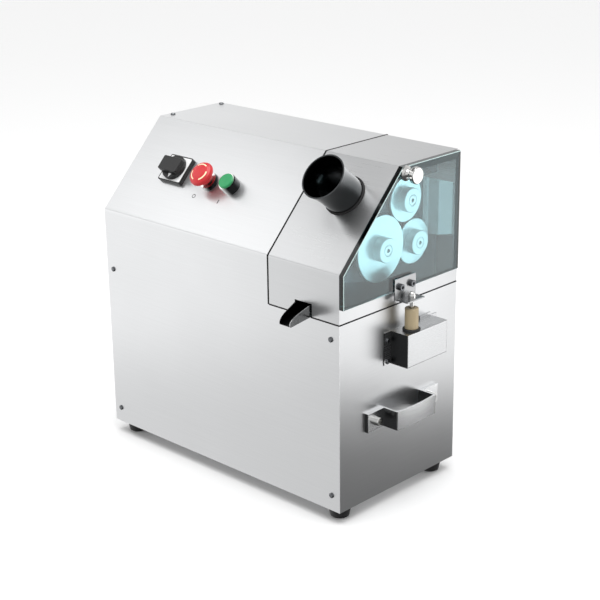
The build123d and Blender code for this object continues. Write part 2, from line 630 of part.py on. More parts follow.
# ---- guide_bar: keeps the crushed cane between the three rollers on its way to the rear nip ----
GUIDE_R = 5.0
GUIDE_GAP = 1.3
GUIDE_ANGLE = 23.8
GUIDE_AXIS = step_from(FRONT_AXIS, GUIDE_ANGLE, FRONT_ROLLER_R + GUIDE_GAP + GUIDE_R)
with BuildPart() as guide_bar:
    round_bar(across(BULKHEAD_X[1]), [GUIDE_AXIS], GUIDE_R, OUTER_X[0] - BULKHEAD_X[1])
finish_part(guide_bar.part, "guide_bar")

# ---- bagasse_chute: floor and two cheeks behind the rollers. The right cheek wings out to the window ----
CHUTE_END = BACK_Y - 4.5
WING_Y = FRONT_Y + 228
FLARE_START = (END_X - 22.0, FRONT_Y + 236)
FLARE_X = END_X - 5.0
CHEEK_X = (OUTER_X[1] - SHEET, OUTER_X[1])
with BuildPart() as bagasse_chute:
    chute_z = BASE_Z + CHUTE_H[0]
    chute_height = CHUTE_H[1] - CHUTE_H[0]
    floor_y = REAR_AXIS[0] + REAR_ROLLER_R + 4
    chute_floor = [
        (COVER_X, floor_y),
        (CHEEK_X[0], floor_y),
        (CHEEK_X[0], WING_Y + SHEET),
        (FLARE_START[0] - SHEET / 2, FLARE_START[1] + SHEET),
        (FLARE_X, CHUTE_END),
        (COVER_X, CHUTE_END),
    ]
    prism(Plane.XY.offset(chute_z), chute_floor, SHEET)
    flared_cheek = [
        (CHEEK_X[0], FRONT_Y + CHUTE_START),
        (CHEEK_X[1], FRONT_Y + CHUTE_START),
        (CHEEK_X[1], WING_Y),
        FLARE_START,
        (FLARE_X + SHEET / 2, CHUTE_END - SHEET),
        (FLARE_X, CHUTE_END),
        (FLARE_START[0] - SHEET / 2, FLARE_START[1] + SHEET),
        (CHEEK_X[0], WING_Y + SHEET),
    ]
    prism(Plane.XY.offset(chute_z), flared_cheek, chute_height)
    left_cheek_y = (floor_y, CHUTE_END)
    block((COVER_X, COVER_X + SHEET), left_cheek_y, (chute_z, chute_z + chute_height))
    top_cut = [
        (FRONT_Y + CHUTE_START, chute_z + chute_height),
        (BACK_Y, chute_z + chute_height - 14),
        (BACK_Y, TOP_Z),
        (FRONT_Y + CHUTE_START, TOP_Z),
    ]
    prism(across(COVER_X), top_cut, CHAMBER, mode=Mode.SUBTRACT)
finish_part(bagasse_chute.part, "bagasse_chute")

# ---- Motor, gearbox and drive pinion, on one line ----
GEARBOX_L = 100.0
GEARBOX_W = 110.0
GEARBOX_WALL = 9.0
MOTOR_L = 170.0
MOTOR_R = 52.0
FIN_R = 60.0
ROTOR_R = 30.0
ROTOR_SHAFT_R = 8.0
GEARBOX_X = (GEAR_PLATE_X[0] - GEARBOX_L, GEAR_PLATE_X[0])
MOTOR_X = (GEARBOX_X[0] - MOTOR_L, GEARBOX_X[0])
FAN_SPACE = 26.0
SHIELD = 8.0
with BuildPart() as gearbox:
    half = GEARBOX_W / 2
    box_y = (PINION_AXIS[0] - half, PINION_AXIS[0] + half)
    box_z = (PINION_AXIS[1] - half, PINION_AXIS[1] + half)
    block(GEARBOX_X, box_y, box_z)
    fillet(gearbox.edges().filter_by(Axis.X), radius=12)
    round_bar(across(GEARBOX_X[1]), [PINION_AXIS], PILOT_R, PLATE - 1)
    cavity_x = (GEARBOX_X[0] + GEARBOX_WALL, GEARBOX_X[1] - 2 * GEARBOX_WALL)
    cavity_y = (box_y[0] + GEARBOX_WALL, box_y[1] - GEARBOX_WALL)
    cavity_z = (box_z[0] + GEARBOX_WALL, box_z[1] - GEARBOX_WALL)
    block(cavity_x, cavity_y, cavity_z, mode=Mode.SUBTRACT)
    output_l = GEARBOX_X[1] + PLATE - 1 - cavity_x[1]
    round_bar(across(cavity_x[1]), [PINION_AXIS], SHAFT_R + RUNNING, output_l, mode=Mode.SUBTRACT)
    input_r = ROTOR_SHAFT_R + RUNNING
    round_bar(across(GEARBOX_X[0]), [PINION_AXIS], input_r, GEARBOX_WALL, mode=Mode.SUBTRACT)
finish_part(gearbox.part, "gearbox")

with BuildPart() as motor_housing:
    round_bar(across(MOTOR_X[0]), [PINION_AXIS], MOTOR_R, MOTOR_L)
    with BuildSketch(across(MOTOR_X[0] + FAN_SPACE)) as fins:
        with Locations(PINION_AXIS):
            with PolarLocations((MOTOR_R + FIN_R) / 2 - 0.5, 28):
                Rectangle(FIN_R - MOTOR_R + 1, 2.4)
    extrude(fins.sketch, amount=MOTOR_L - FAN_SPACE - 6)
    terminal_y = (PINION_AXIS[0] - 30, PINION_AXIS[0] + 30)
    terminal_z = (PINION_AXIS[1] - FIN_R - 30, PINION_AXIS[1] - MOTOR_R + 4)
    block((MOTOR_X[0] + 60, MOTOR_X[0] + 130), terminal_y, terminal_z)
    bore_x = (MOTOR_X[0] + FAN_SPACE + SHIELD, MOTOR_X[1] - SHIELD)
    bore_l = bore_x[1] - bore_x[0]
    round_bar(across(bore_x[0]), [PINION_AXIS], ROTOR_R + 1, bore_l, mode=Mode.SUBTRACT)
    fan_l = FAN_SPACE - 3
    round_bar(across(MOTOR_X[0] + 3), [PINION_AXIS], MOTOR_R - 4, fan_l, mode=Mode.SUBTRACT)
    input_bore = [PINION_AXIS]
    shield_x = MOTOR_X[0] + FAN_SPACE
    bearing_r = ROTOR_SHAFT_R + RUNNING
    round_bar(across(shield_x), input_bore, bearing_r, MOTOR_L - FAN_SPACE, mode=Mode.SUBTRACT)
    with BuildSketch(across(MOTOR_X[0])) as grille:
        with Locations(PINION_AXIS):
            with PolarLocations(28, 10):
                SlotOverall(26, 8)
    extrude(grille.sketch, amount=3, mode=Mode.SUBTRACT)
finish_part(motor_housing.part, "motor_housing")

with BuildPart() as motor_rotor:
    rotor_start = MOTOR_X[0] + 8
    rotor_l = GEARBOX_X[0] + 30 - rotor_start
    round_bar(across(rotor_start), [PINION_AXIS], ROTOR_SHAFT_R, rotor_l)
    core_l = bore_l - 24
    round_bar(across(bore_x[0] + 12), [PINION_AXIS], ROTOR_R, core_l)
    round_bar(across(rotor_start + 10), [PINION_AXIS], MOTOR_R - 9, 2.5)
    with BuildSketch(across(rotor_start)) as blades:
        with Locations(PINION_AXIS):
            with PolarLocations(27, 9):
                Rectangle(30, 1.8)
    extrude(blades.sketch, amount=11)
finish_part(motor_rotor.part, "motor_rotor")

with BuildPart() as drive_pinion:
    drive_start = GEARBOX_X[1] - 58
    drive_l = FRONT_GEAR_X[1] + 2 - drive_start
    round_bar(across(drive_start), [PINION_AXIS], SHAFT_R, drive_l)
    teeth = gear_outline(PINION_TEETH, PINION_PHASE)
    pinion_points = [(PINION_AXIS[0] + u, PINION_AXIS[1] + v) for u, v in teeth]
    prism(across(FRONT_GEAR_X[0]), pinion_points, GEAR_W)
finish_part(drive_pinion.part, "drive_pinion")

# ---- contactor: stands on the base pan, with its terminal rows ----
CONTACTOR_X = (LEFT_X + 120, LEFT_X + 175)
CONTACTOR_Y = (FRONT_Y + 90, FRONT_Y + 165)
CONTACTOR_H = 85.0
with BuildPart() as contactor:
    contactor_z = (BASE_Z + PAN_T, BASE_Z + PAN_T + CONTACTOR_H)
    block(CONTACTOR_X, CONTACTOR_Y, contactor_z)
    step_z = (contactor_z[1] - 22, contactor_z[1])
    block(CONTACTOR_X, (CONTACTOR_Y[0], CONTACTOR_Y[0] + 14), step_z, mode=Mode.SUBTRACT)
    block(CONTACTOR_X, (CONTACTOR_Y[1] - 14, CONTACTOR_Y[1]), step_z, mode=Mode.SUBTRACT)
    terminals = [
        (CONTACTOR_X[0] + 10 + 11.5 * column, y)
        for column in range(4)
        for y in (CONTACTOR_Y[0] + 7, CONTACTOR_Y[1] - 7)
    ]
    round_bar(Plane.XY.offset(step_z[0] - 8), terminals, 4, 8, mode=Mode.SUBTRACT)
finish_part(contactor.part, "contactor")

# ---- cable_gland: clamped in the back sheet by its own nut ----
gland_plane = Plane(origin=(GLAND_POINT[0], BACK_Y, GLAND_POINT[1]), x_dir=(1, 0, 0), z_dir=(0, 1, 0))
GLAND_BORE = 4.5
with BuildPart() as cable_gland:
    turned(
        gland_plane,
        [
            (GLAND_BORE, -12),
            (GLAND_R, -12),
            (GLAND_R, -7),
            (12, -7),
            (12, -SHEET),
            (GLAND_R, -SHEET),
            (GLAND_R, 0),
            (12, 0),
            (12, 6),
            (11, 7),
            (11, GLAND_REACH - 5),
            (7.5, GLAND_REACH),
            (GLAND_BORE, GLAND_REACH),
        ],
    )
finish_part(cable_gland.part, "cable_gland")

# ---- carry_handle: one bent strap with thick feet, and its two socket screws ----
GRIP_BOW = 3.0
GRIP_CORNER_R = 2.0
FOOT_T = 6.0
with BuildPart() as carry_handle:
    grip_y = (FRONT_Y + HANDLE_Y - HANDLE_SPAN / 2, FRONT_Y + HANDLE_Y + HANDLE_SPAN / 2)
    grip_z = (BASE_Z + HANDLE_H - HANDLE_W / 2, BASE_Z + HANDLE_H + HANDLE_W / 2)
    middle = (grip_y[0] + grip_y[1]) / 2
    side_x = END_X + HANDLE_REACH - GRIP_BOW
    inner_y = (grip_y[0] + HANDLE_STRAP, grip_y[1] - HANDLE_STRAP)
    with BuildSketch(Plane.XY.offset(grip_z[0])) as strap:
        with BuildLine():
            Polyline((side_x, grip_y[0]), (END_X, grip_y[0]), (END_X, inner_y[0]))
            Line((END_X, inner_y[0]), (side_x - HANDLE_STRAP, inner_y[0]))
            ThreePointArc(
                (side_x - HANDLE_STRAP, inner_y[0]),
                (END_X + HANDLE_REACH - HANDLE_STRAP, middle),
                (side_x - HANDLE_STRAP, inner_y[1]),
            )
            Polyline((side_x - HANDLE_STRAP, inner_y[1]), (END_X, inner_y[1]), (END_X, grip_y[1]))
            Line((END_X, grip_y[1]), (side_x, grip_y[1]))
            ThreePointArc(
                (side_x, grip_y[1]), (END_X + HANDLE_REACH, middle), (side_x, grip_y[0])
            )
        make_face()
    extrude(strap.sketch, amount=HANDLE_W)
    corners = carry_handle.edges().filter_by(Axis.Z).group_by(Axis.X)
    fillet([edge for edge in corners[-1] + corners[-2] if abs(edge.center().X - side_x) < 0.1], GRIP_CORNER_R)
    foot_x = (END_X, END_X + FOOT_T)
    block(foot_x, (grip_y[0] - HANDLE_FOOT, grip_y[0]), grip_z)
    block(foot_x, (grip_y[1], grip_y[1] + HANDLE_FOOT), grip_z)
    screw_holes(across(END_X + FOOT_T), HANDLE_SCREWS, HANDLE_SCREW_R + SCREW_PLAY, FOOT_T)
finish_part(carry_handle.part, "carry_handle")

SOCKET_HEAD_R = 6.5
with BuildPart() as handle_bolts:
    for y, z in HANDLE_SCREWS:
        head_plane = Plane(origin=(END_X + FOOT_T, y, z), x_dir=(0, 1, 0), z_dir=(1, 0, 0))
        turned(
            head_plane,
            [
                (0, -FOOT_T - SHEET - 8),
                (HANDLE_SCREW_R, -FOOT_T - SHEET - 8),
                (HANDLE_SCREW_R, 0),
                (SOCKET_HEAD_R, 0),
                (SOCKET_HEAD_R, 7.2),
                (SOCKET_HEAD_R - 0.8, 8),
                (0, 8),
            ],
        )
        with BuildSketch(across(END_X + FOOT_T + 8)) as socket:
            with Locations((y, z)):
                RegularPolygon(3.5, 6)
        extrude(socket.sketch, amount=-4.5, mode=Mode.SUBTRACT)
finish_part(handle_bolts.part, "handle_bolts")

# ---- Interlock: switch box, its switch, the plunger, the guide bush and its foot ring ----
BOX_X = (END_X, END_X + BOX_REACH)
BOX_WORLD_Y = (FRONT_Y + BOX_Y[0], FRONT_Y + BOX_Y[1])
BOX_WORLD_Z = (BASE_Z + BOX_H[0], BASE_Z + BOX_H[1])
PIN_POINT = (END_X + PIN_X, FRONT_Y + PIN_Y)
PLUNGER_GAP = 0.6
with BuildPart() as switch_box:
    block(BOX_X, BOX_WORLD_Y, BOX_WORLD_Z)
    inside_y = (BOX_WORLD_Y[0] + BOX_SHEET, BOX_WORLD_Y[1] - BOX_SHEET)
    inside_z = (BOX_WORLD_Z[0] + BOX_SHEET, BOX_WORLD_Z[1] - BOX_SHEET)
    fillet(switch_box.faces().sort_by(Axis.X)[-1].edges(), radius=BOX_CORNER_R)
    block((END_X, BOX_X[1] - BOX_SHEET), inside_y, inside_z, mode=Mode.SUBTRACT)
    flange_x = (END_X, END_X + BOX_SHEET)
    block(flange_x, (BOX_WORLD_Y[0] - BOX_FLANGE, BOX_WORLD_Y[0]), BOX_WORLD_Z)
    block(flange_x, (BOX_WORLD_Y[1], BOX_WORLD_Y[1] + BOX_FLANGE), BOX_WORLD_Z)
    tab_y = (BOX_WORLD_Y[1] - 25, BOX_WORLD_Y[1])
    block(flange_x, tab_y, (BOX_WORLD_Z[1], BOX_WORLD_Z[1] + 5))
    top_plane = Plane.XY.offset(BOX_WORLD_Z[1])
    screw_holes(top_plane, [PIN_POINT], PIN_R + PIN_PLAY, BOX_SHEET)
    screw_holes(across(END_X + BOX_SHEET), BOX_SCREWS, SCREW_R + SCREW_PLAY, BOX_SHEET)
finish_part(switch_box.part, "switch_box")

SWITCH_X = (END_X, END_X + 30)
SWITCH_Y = (PIN_POINT[1] - 13, PIN_POINT[1] + 22)
SWITCH_Z = (BASE_Z + 212, BASE_Z + 244)
PLUNGER_Z = (SWITCH_Z[1] - 22, BASE_Z + PIN_TIP - PLUNGER_GAP)
with BuildPart() as interlock_switch:
    block(SWITCH_X, SWITCH_Y, SWITCH_Z)
    plunger_hole = SWITCH_Z[1] - PLUNGER_Z[0] + PLUNGER_STROKE + 1
    screw_holes(Plane.XY.offset(SWITCH_Z[1]), [PIN_POINT], PIN_R + RUNNING, plunger_hole)
    chamfer(interlock_switch.edges().filter_by(Axis.X).group_by(Axis.Z)[-1], length=2)
finish_part(interlock_switch.part, "interlock_switch")

with BuildPart() as interlock_plunger:
    round_bar(Plane.XY.offset(PLUNGER_Z[0]), [PIN_POINT], PIN_R, PLUNGER_Z[1] - PLUNGER_Z[0])
finish_part(interlock_plunger.part, "interlock_plunger")

RING_T = 3.5
with BuildPart() as interlock_bush:
    bush_l = BASE_Z + BUSH_TOP - BOX_WORLD_Z[1]
    round_bar(top_plane, [PIN_POINT], BUSH_R, bush_l)
    chamfer(interlock_bush.edges().group_by(Axis.Z)[-1], length=0.8)
    round_bar(top_plane, [PIN_POINT], PIN_R + PIN_PLAY, bush_l, mode=Mode.SUBTRACT)
finish_part(interlock_bush.part, "interlock_bush")

with BuildPart() as interlock_ring:
    round_bar(top_plane, [PIN_POINT], BUSH_R + 3, RING_T)
    chamfer(interlock_ring.edges().group_by(Axis.Z)[-1], length=0.8)
    round_bar(top_plane, [PIN_POINT], BUSH_R + RUNNING, RING_T, mode=Mode.SUBTRACT)
finish_part(interlock_ring.part, "interlock_ring")

# ---- Controls on the slope: each stands on slope_plane, with heights along its normal ----


def control_plane(point, height=0.0):
    """The slope's plane, moved to a control and out by a height."""
    origin = slope_plane.from_local_coords((point[0], point[1], height))
    return Plane(origin=origin, x_dir=slope_plane.x_dir, z_dir=slope_plane.z_dir)


SELECTOR_W = (50.0, 46.0)
SELECTOR_T = 7.0
KNOB_R = 20.5
KNOB_GAP = 0.4
GRIP_W = 16.0
GRIP_H = 8.5
STEM_R = 5.0
with BuildPart() as selector_plate:
    with BuildSketch(control_plane(SELECTOR)) as plate_face:
        RectangleRounded(*SELECTOR_W, 3)
    extrude(plate_face.sketch, amount=SELECTOR_T)
    screw_holes(control_plane(SELECTOR, SELECTOR_T), [(0, 0)], STEM_R + 0.5, SELECTOR_T)
finish_part(selector_plate.part, "selector_plate")

with BuildPart() as selector_knob:
    knob_low = SELECTOR_T + KNOB_GAP
    turned(
        control_plane(SELECTOR),
        [
            (0, -18),
            (STEM_R, -18),
            (STEM_R, knob_low),
            (KNOB_R, knob_low),
            (KNOB_R, knob_low + 7),
            (KNOB_R - 1.5, knob_low + 8.5),
            (0, knob_low + 8.5),
        ],
    )
    with BuildSketch(control_plane(SELECTOR, knob_low + 7)) as grip_face:
        RectangleRounded(GRIP_W, 2 * KNOB_R + 1, 3)
    extrude(grip_face.sketch, amount=GRIP_H)
finish_part(selector_knob.part, "selector_knob")

BODY_W = 44.0
BODY_L = 50.0
with BuildPart() as selector_body:
    with BuildSketch(control_plane(SELECTOR, -SHEET - BODY_L)) as body_face:
        RectangleRounded(BODY_W, BODY_W, 3)
    extrude(body_face.sketch, amount=BODY_L)
    round_bar(control_plane(SELECTOR, -SHEET), [(0, 0)], SELECTOR_HOLE_R - SCREW_PLAY, SHEET)
    screw_holes(control_plane(SELECTOR), [(0, 0)], STEM_R + RUNNING, SHEET + 20)
finish_part(selector_body.part, "selector_body")

COLLAR_H = 6.0
THREAD_L = 14.0
with BuildPart() as stop_collar:
    turned(
        control_plane(STOP),
        [
            (STEM_R + RUNNING, -THREAD_L),
            (CONTROL_BORE_R, -THREAD_L),
            (CONTROL_BORE_R, 0),
            (15.5, 0),
            (15.5, 2.5),
            (14, COLLAR_H),
            (STEM_R + RUNNING, COLLAR_H),
        ],
    )
finish_part(stop_collar.part, "stop_collar")

MUSHROOM_R = 20.0
MUSHROOM_TOP = 31.0
STEM_TOP = 22.5
with BuildPart() as stop_stem:
    round_bar(control_plane(STOP, -THREAD_L), [(0, 0)], STEM_R, THREAD_L + STEM_TOP)
finish_part(stop_stem.part, "stop_stem")

with BuildPart() as stop_button:
    neck_low = COLLAR_H + CONTROL_TRAVEL + 1
    turned(
        control_plane(STOP),
        [
            (STEM_R + RUNNING, neck_low),
            (11.5, neck_low),
            (12.5, 18),
            (MUSHROOM_R - 1, 20.5),
            (MUSHROOM_R, 21.6),
            (MUSHROOM_R, 24.2),
            (MUSHROOM_R - 1.5, 27),
            (MUSHROOM_R - 6, 29.4),
            (MUSHROOM_R - 12, MUSHROOM_TOP - 0.4),
            (0, MUSHROOM_TOP),
            (0, STEM_TOP + 0.5),
            (STEM_R + RUNNING, STEM_TOP + 0.5),
        ],
    )
finish_part(stop_button.part, "stop_button")

START_RING_R = 14.5
START_CAP_R = 12.4
START_TOP = 19.0
with BuildPart() as start_collar:
    turned(
        control_plane(START),
        [
            (STEM_R + RUNNING, -THREAD_L),
            (CONTROL_BORE_R, -THREAD_L),
            (CONTROL_BORE_R, 0),
            (START_RING_R, 0),
            (START_RING_R, 14),
            (START_RING_R - 1, 16),
            (START_CAP_R + RUNNING, 16),
            (START_CAP_R + RUNNING, 6),
            (STEM_R + RUNNING, 6),
        ],
    )
finish_part(start_collar.part, "start_collar")

with BuildPart() as start_button:
    cap_low = 6 + CONTROL_TRAVEL + 1
    turned(
        control_plane(START),
        [
            (0, -THREAD_L + 1),
            (STEM_R, -THREAD_L + 1),
            (STEM_R, cap_low),
            (START_CAP_R, cap_low),
            (START_CAP_R, START_TOP - 1.2),
            (START_CAP_R - 1.2, START_TOP),
            (0, START_TOP + 0.5),
        ],
    )
finish_part(start_button.part, "start_button")

BLOCK_W = 30.0
BLOCK_L = 42.0
with BuildPart() as contact_blocks:
    for control in (STOP, START):
        with BuildSketch(control_plane(control, -SHEET - BLOCK_L)) as block_face:
            Rectangle(BLOCK_W, BLOCK_W + 8)
        extrude(block_face.sketch, amount=BLOCK_L)
        under_sheet = control_plane(control, -SHEET)
        screw_holes(under_sheet, [(0, 0)], CONTROL_BORE_R + RUNNING, THREAD_L - SHEET + 0.5)
        screw_holes(under_sheet, [(0, 0)], STEM_R + 1, THREAD_L + CONTROL_TRAVEL + 2)
finish_part(contact_blocks.part, "contact_blocks")

# ---- Hood: shell, top, window, funnel and the interlock's pin on its bracket ----
WINDOW_SIDE = 5.0  # rim behind the window along the slope
WINDOW_BACK = 14.0
PANE_BACK = 7.0  # the pane stops short of the back
END_FIT = 0.05  # the end frame in the bent sheet
NOTCH_PLAY = 2.5
funnel_point = (-FUNNEL_FROM_END, FUNNEL_UP)
FUNNEL_R = FUNNEL_BORE_R + FUNNEL_WALL
FUNNEL_AXIS = SLOPE + radians(FUNNEL_TILT)
funnel_plane = Plane(
    origin=control_plane(funnel_point).origin,
    x_dir=(1, 0, 0),
    z_dir=(0, -sin(FUNNEL_AXIS), cos(FUNNEL_AXIS)),
)
sill_z = HOOD_Z + WINDOW_SILL


def funnel_bore():
    """The tilted hole that the funnel passes through."""
    round_bar(funnel_plane.offset(8), [(0, 0)], FUNNEL_R + RUNNING, -20, mode=Mode.SUBTRACT)


def window_opening():
    """The window's clear opening in the hood's end, from the side."""
    outline = side_outline(WINDOW_SIDE, sill_z)
    top_z = TOP_Z - FRAME_W
    top_y = outline[2][0] - (outline[2][1] - top_z) / tan(SLOPE)
    back_y = BACK_Y - WINDOW_BACK
    return [outline[0], outline[1], (top_y, top_z), (back_y, top_z), (back_y, sill_z)]


with BuildPart() as hood_shell:
    prism(across(HOOD_X), front_sheet_outline(HOOD_Z), CHAMBER)
    round_bend(hood_shell, FRONT_BEND, FRONT_BEND_R)
    prism(across(END_X - SHEET), side_outline(SHEET + END_FIT, HOOD_Z), SHEET)
    prism(across(END_X - SHEET), window_opening(), SHEET, mode=Mode.SUBTRACT)
    funnel_bore()
    notch_x = (SPOUT_X - SPOUT_W / 2 - NOTCH_PLAY, SPOUT_X + SPOUT_W / 2 + NOTCH_PLAY)
    notch_top = SPOUT_Z + SPOUT_CHEEK + NOTCH_PLAY
    block(notch_x, (FRONT_Y, FRONT_Y + SHEET), (HOOD_Z, notch_top), mode=Mode.SUBTRACT)
    KNOB_POINT = (FRONT_Y + 129.5, BASE_Z + 480)
    KNOB_STEM_R = 3.8
    screw_holes(end_plane, [KNOB_POINT], KNOB_STEM_R + SCREW_PLAY, SHEET)
finish_part(hood_shell.part, "hood_shell")

OUTLET_X = (HOOD_X + 3, END_X - 6)
OUTLET_Z = (BASE_Z + CHUTE_H[0] + 2, BASE_Z + CHUTE_H[1] - 16)
with BuildPart() as hood_top:
    prism(across(HOOD_X), top_sheet_outline(HOOD_Z), CHAMBER)
    round_bend(hood_top, BACK_BEND, BACK_BEND_R)
    block(OUTLET_X, (BACK_Y - SHEET, BACK_Y), OUTLET_Z, mode=Mode.SUBTRACT)
finish_part(hood_top.part, "hood_top")

BRACKET_Y = (106.0, 152.0)
BRACKET_H = (297.0, 330.0)
BRACKET_T = 2.0
BRACKET_SCREW_R = 3.0
BRACKET_SCREWS = [(FRONT_Y + y, BASE_Z + 317.0) for y in (117.5, 141.5)]
WINDOW_X = (END_X, END_X + WINDOW_T)
with BuildPart() as hood_window:
    pane = side_outline(0.4, sill_z)
    prism(across(WINDOW_X[0]), pane, WINDOW_T)
    block(WINDOW_X, (BACK_Y - PANE_BACK, BACK_Y), (sill_z, TOP_Z), mode=Mode.SUBTRACT)
    chamfer(hood_window.faces().sort_by(Axis.X)[-1].edges(), length=0.8)
    glass_face = across(WINDOW_X[1])
    screw_holes(glass_face, [KNOB_POINT], KNOB_STEM_R + SCREW_PLAY, WINDOW_T)
    screw_holes(glass_face, BRACKET_SCREWS, BRACKET_SCREW_R + SCREW_PLAY, WINDOW_T)
finish_part(hood_window.part, "hood_window")

with BuildPart() as window_knob:
    through = WINDOW_T + SHEET
    reach = KNOB_REACH - WINDOW_T
    turned(
        Plane(origin=(WINDOW_X[1], *KNOB_POINT), x_dir=(0, 1, 0), z_dir=(1, 0, 0)),
        [
            (0, -through - 6),
            (KNOB_STEM_R, -through - 6),
            (KNOB_STEM_R, -through - 4),
            (7, -through - 4),
            (7, -through),
            (KNOB_STEM_R, -through),
            (KNOB_STEM_R, 0),
            (11, 0),
            (11, 1.8),
            (7, 4.5),
            (5, 7.5),
            (5, reach - 11),
            (7, reach - 8.5),
            (11.4, reach - 7),
            (12.2, reach - 5.5),
            (12.2, reach - 1.5),
            (10.8, reach),
            (0, reach),
        ],
    )
finish_part(window_knob.part, "window_knob")

with BuildPart() as feed_funnel:
    flare_steps = 8
    outer = [(FUNNEL_R, -SHEET - FUNNEL_INSIDE)]
    for step in range(flare_steps + 1):
        part_way = step / flare_steps
        height = FUNNEL_FLARE + (FUNNEL_STANDS - FUNNEL_FLARE) * part_way
        outer.append((FUNNEL_R + (FUNNEL_RIM_R - FUNNEL_R) * part_way**2.2, height))
    inner = [(r - FUNNEL_WALL, h) for r, h in outer]
    turned(funnel_plane, outer + inner[::-1])
finish_part(feed_funnel.part, "feed_funnel")

with BuildPart() as funnel_seal:
    seal = FUNNEL_R + SEAL_W
    turned(
        control_plane(funnel_point),
        [(0, 0), (seal, 0), (seal, SEAL_H - 1.2), (seal - 1, SEAL_H), (0, SEAL_H)],
    )
    funnel_bore()
finish_part(funnel_seal.part, "funnel_seal")

with BuildPart() as interlock_bracket:
    face_y = (FRONT_Y + BRACKET_Y[0], FRONT_Y + BRACKET_Y[1])
    face_z = (BASE_Z + BRACKET_H[0], BASE_Z + BRACKET_H[1])
    face_x = (WINDOW_X[1], WINDOW_X[1] + BRACKET_T)
    block(face_x, face_y, face_z)
    lip_y = (face_y[0] + 6, face_y[1] - 2)
    block((face_x[0], END_X + PIN_X + 8), lip_y, (face_z[0], face_z[0] + BRACKET_T))
    lip_plane = Plane.XY.offset(face_z[0] + BRACKET_T)
    screw_holes(lip_plane, [PIN_POINT], PIN_R + RUNNING, BRACKET_T)
    screw_holes(across(face_x[1]), BRACKET_SCREWS, BRACKET_SCREW_R + SCREW_PLAY, BRACKET_T)
finish_part(interlock_bracket.part, "interlock_bracket")

with BuildPart() as bracket_screws:
    for y, z in BRACKET_SCREWS:
        nut_face = -BRACKET_T - WINDOW_T
        turned(
            Plane(origin=(face_x[1], y, z), x_dir=(0, 1, 0), z_dir=(1, 0, 0)),
            [
                (0, nut_face - 5),
                (BRACKET_SCREW_R, nut_face - 5),
                (BRACKET_SCREW_R, nut_face - 4),
                (5.5, nut_face - 4),
                (5.5, nut_face),
                (BRACKET_SCREW_R, nut_face),
                (BRACKET_SCREW_R, 0),
                (5, 0),
                (5, 4.4),
                (4.4, 5),
                (0, 5),
            ],
        )
        with BuildSketch(across(face_x[1] + 5)) as socket:
            with Locations((y, z)):
                RegularPolygon(2.6, 6)
        extrude(socket.sketch, amount=-3, mode=Mode.SUBTRACT)
finish_part(bracket_screws.part, "bracket_screws")

with BuildPart() as interlock_pin:
    nut_low = face_z[0] + BRACKET_T - (BASE_Z + PIN_TIP)
    pin_base = Plane(origin=(*PIN_POINT, BASE_Z + PIN_TIP), x_dir=(1, 0, 0), z_dir=(0, 0, 1))
    turned(
        pin_base,
        [
            (0, 0),
            (PIN_R - 1, 0),
            (PIN_R, 1),
            (PIN_R, nut_low),
            (5.6, nut_low),
            (5.6, nut_low + 4.5),
            (5.0, nut_low + 6),
            (3.8, nut_low + 8.6),
            (2.0, nut_low + 10),
            (0, nut_low + 10.3),
        ],
    )
finish_part(interlock_pin.part, "interlock_pin")

# ---- Hinge behind the hood: two leaves with five knuckles on one pin ----
KNUCKLES = 5
KNUCKLE_R = 5.0
HINGE_PIN_R = 2.5
LEAF_T = 2.0
LEAF_X = (HOOD_X + 12, END_X - 14)
KNUCKLE_GAP = 0.3
KNUCKLE_L = (LEAF_X[1] - LEAF_X[0]) / KNUCKLES


def make_leaf(leaf_z, web_z, knuckles):
    """A leaf on the back sheets with the knuckles of the given numbers."""
    block(LEAF_X, (BACK_Y, BACK_Y + LEAF_T), leaf_z)
    for number in knuckles:
        low_x = LEAF_X[0] + number * KNUCKLE_L + KNUCKLE_GAP
        high_x = LEAF_X[0] + (number + 1) * KNUCKLE_L - KNUCKLE_GAP
        block((low_x, high_x), (BACK_Y + KNUCKLE_GAP, HINGE_Y), web_z)
        round_bar(across(low_x), [(HINGE_Y, HINGE_Z)], KNUCKLE_R, high_x - low_x)
    bore_r = HINGE_PIN_R + RUNNING
    leaf_l = LEAF_X[1] - LEAF_X[0]
    round_bar(across(LEAF_X[0]), [(HINGE_Y, HINGE_Z)], bore_r, leaf_l, mode=Mode.SUBTRACT)


with BuildPart() as fixed_hinge_leaf:
    make_leaf((HINGE_Z - 24, HINGE_Z - 2), (HINGE_Z - 5, HINGE_Z), (0, 2, 4))
finish_part(fixed_hinge_leaf.part, "fixed_hinge_leaf")
with BuildPart() as moving_hinge_leaf:
    make_leaf((HOOD_Z + 0.5, HOOD_Z + 24), (HINGE_Z, HOOD_Z + 3), (1, 3))
finish_part(moving_hinge_leaf.part, "moving_hinge_leaf")
with BuildPart() as hinge_pin:
    round_bar(across(LEAF_X[0]), [(HINGE_Y, HINGE_Z)], HINGE_PIN_R, LEAF_X[1] - LEAF_X[0])
finish_part(hinge_pin.part, "hinge_pin")
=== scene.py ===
"""The looks of a table-top cane juicer.

Stainless sheet, a tinted acrylic window, turned rollers and moulded controls.
"""
import json
import math

import bmesh
import bpy
from mathutils import Matrix, Vector


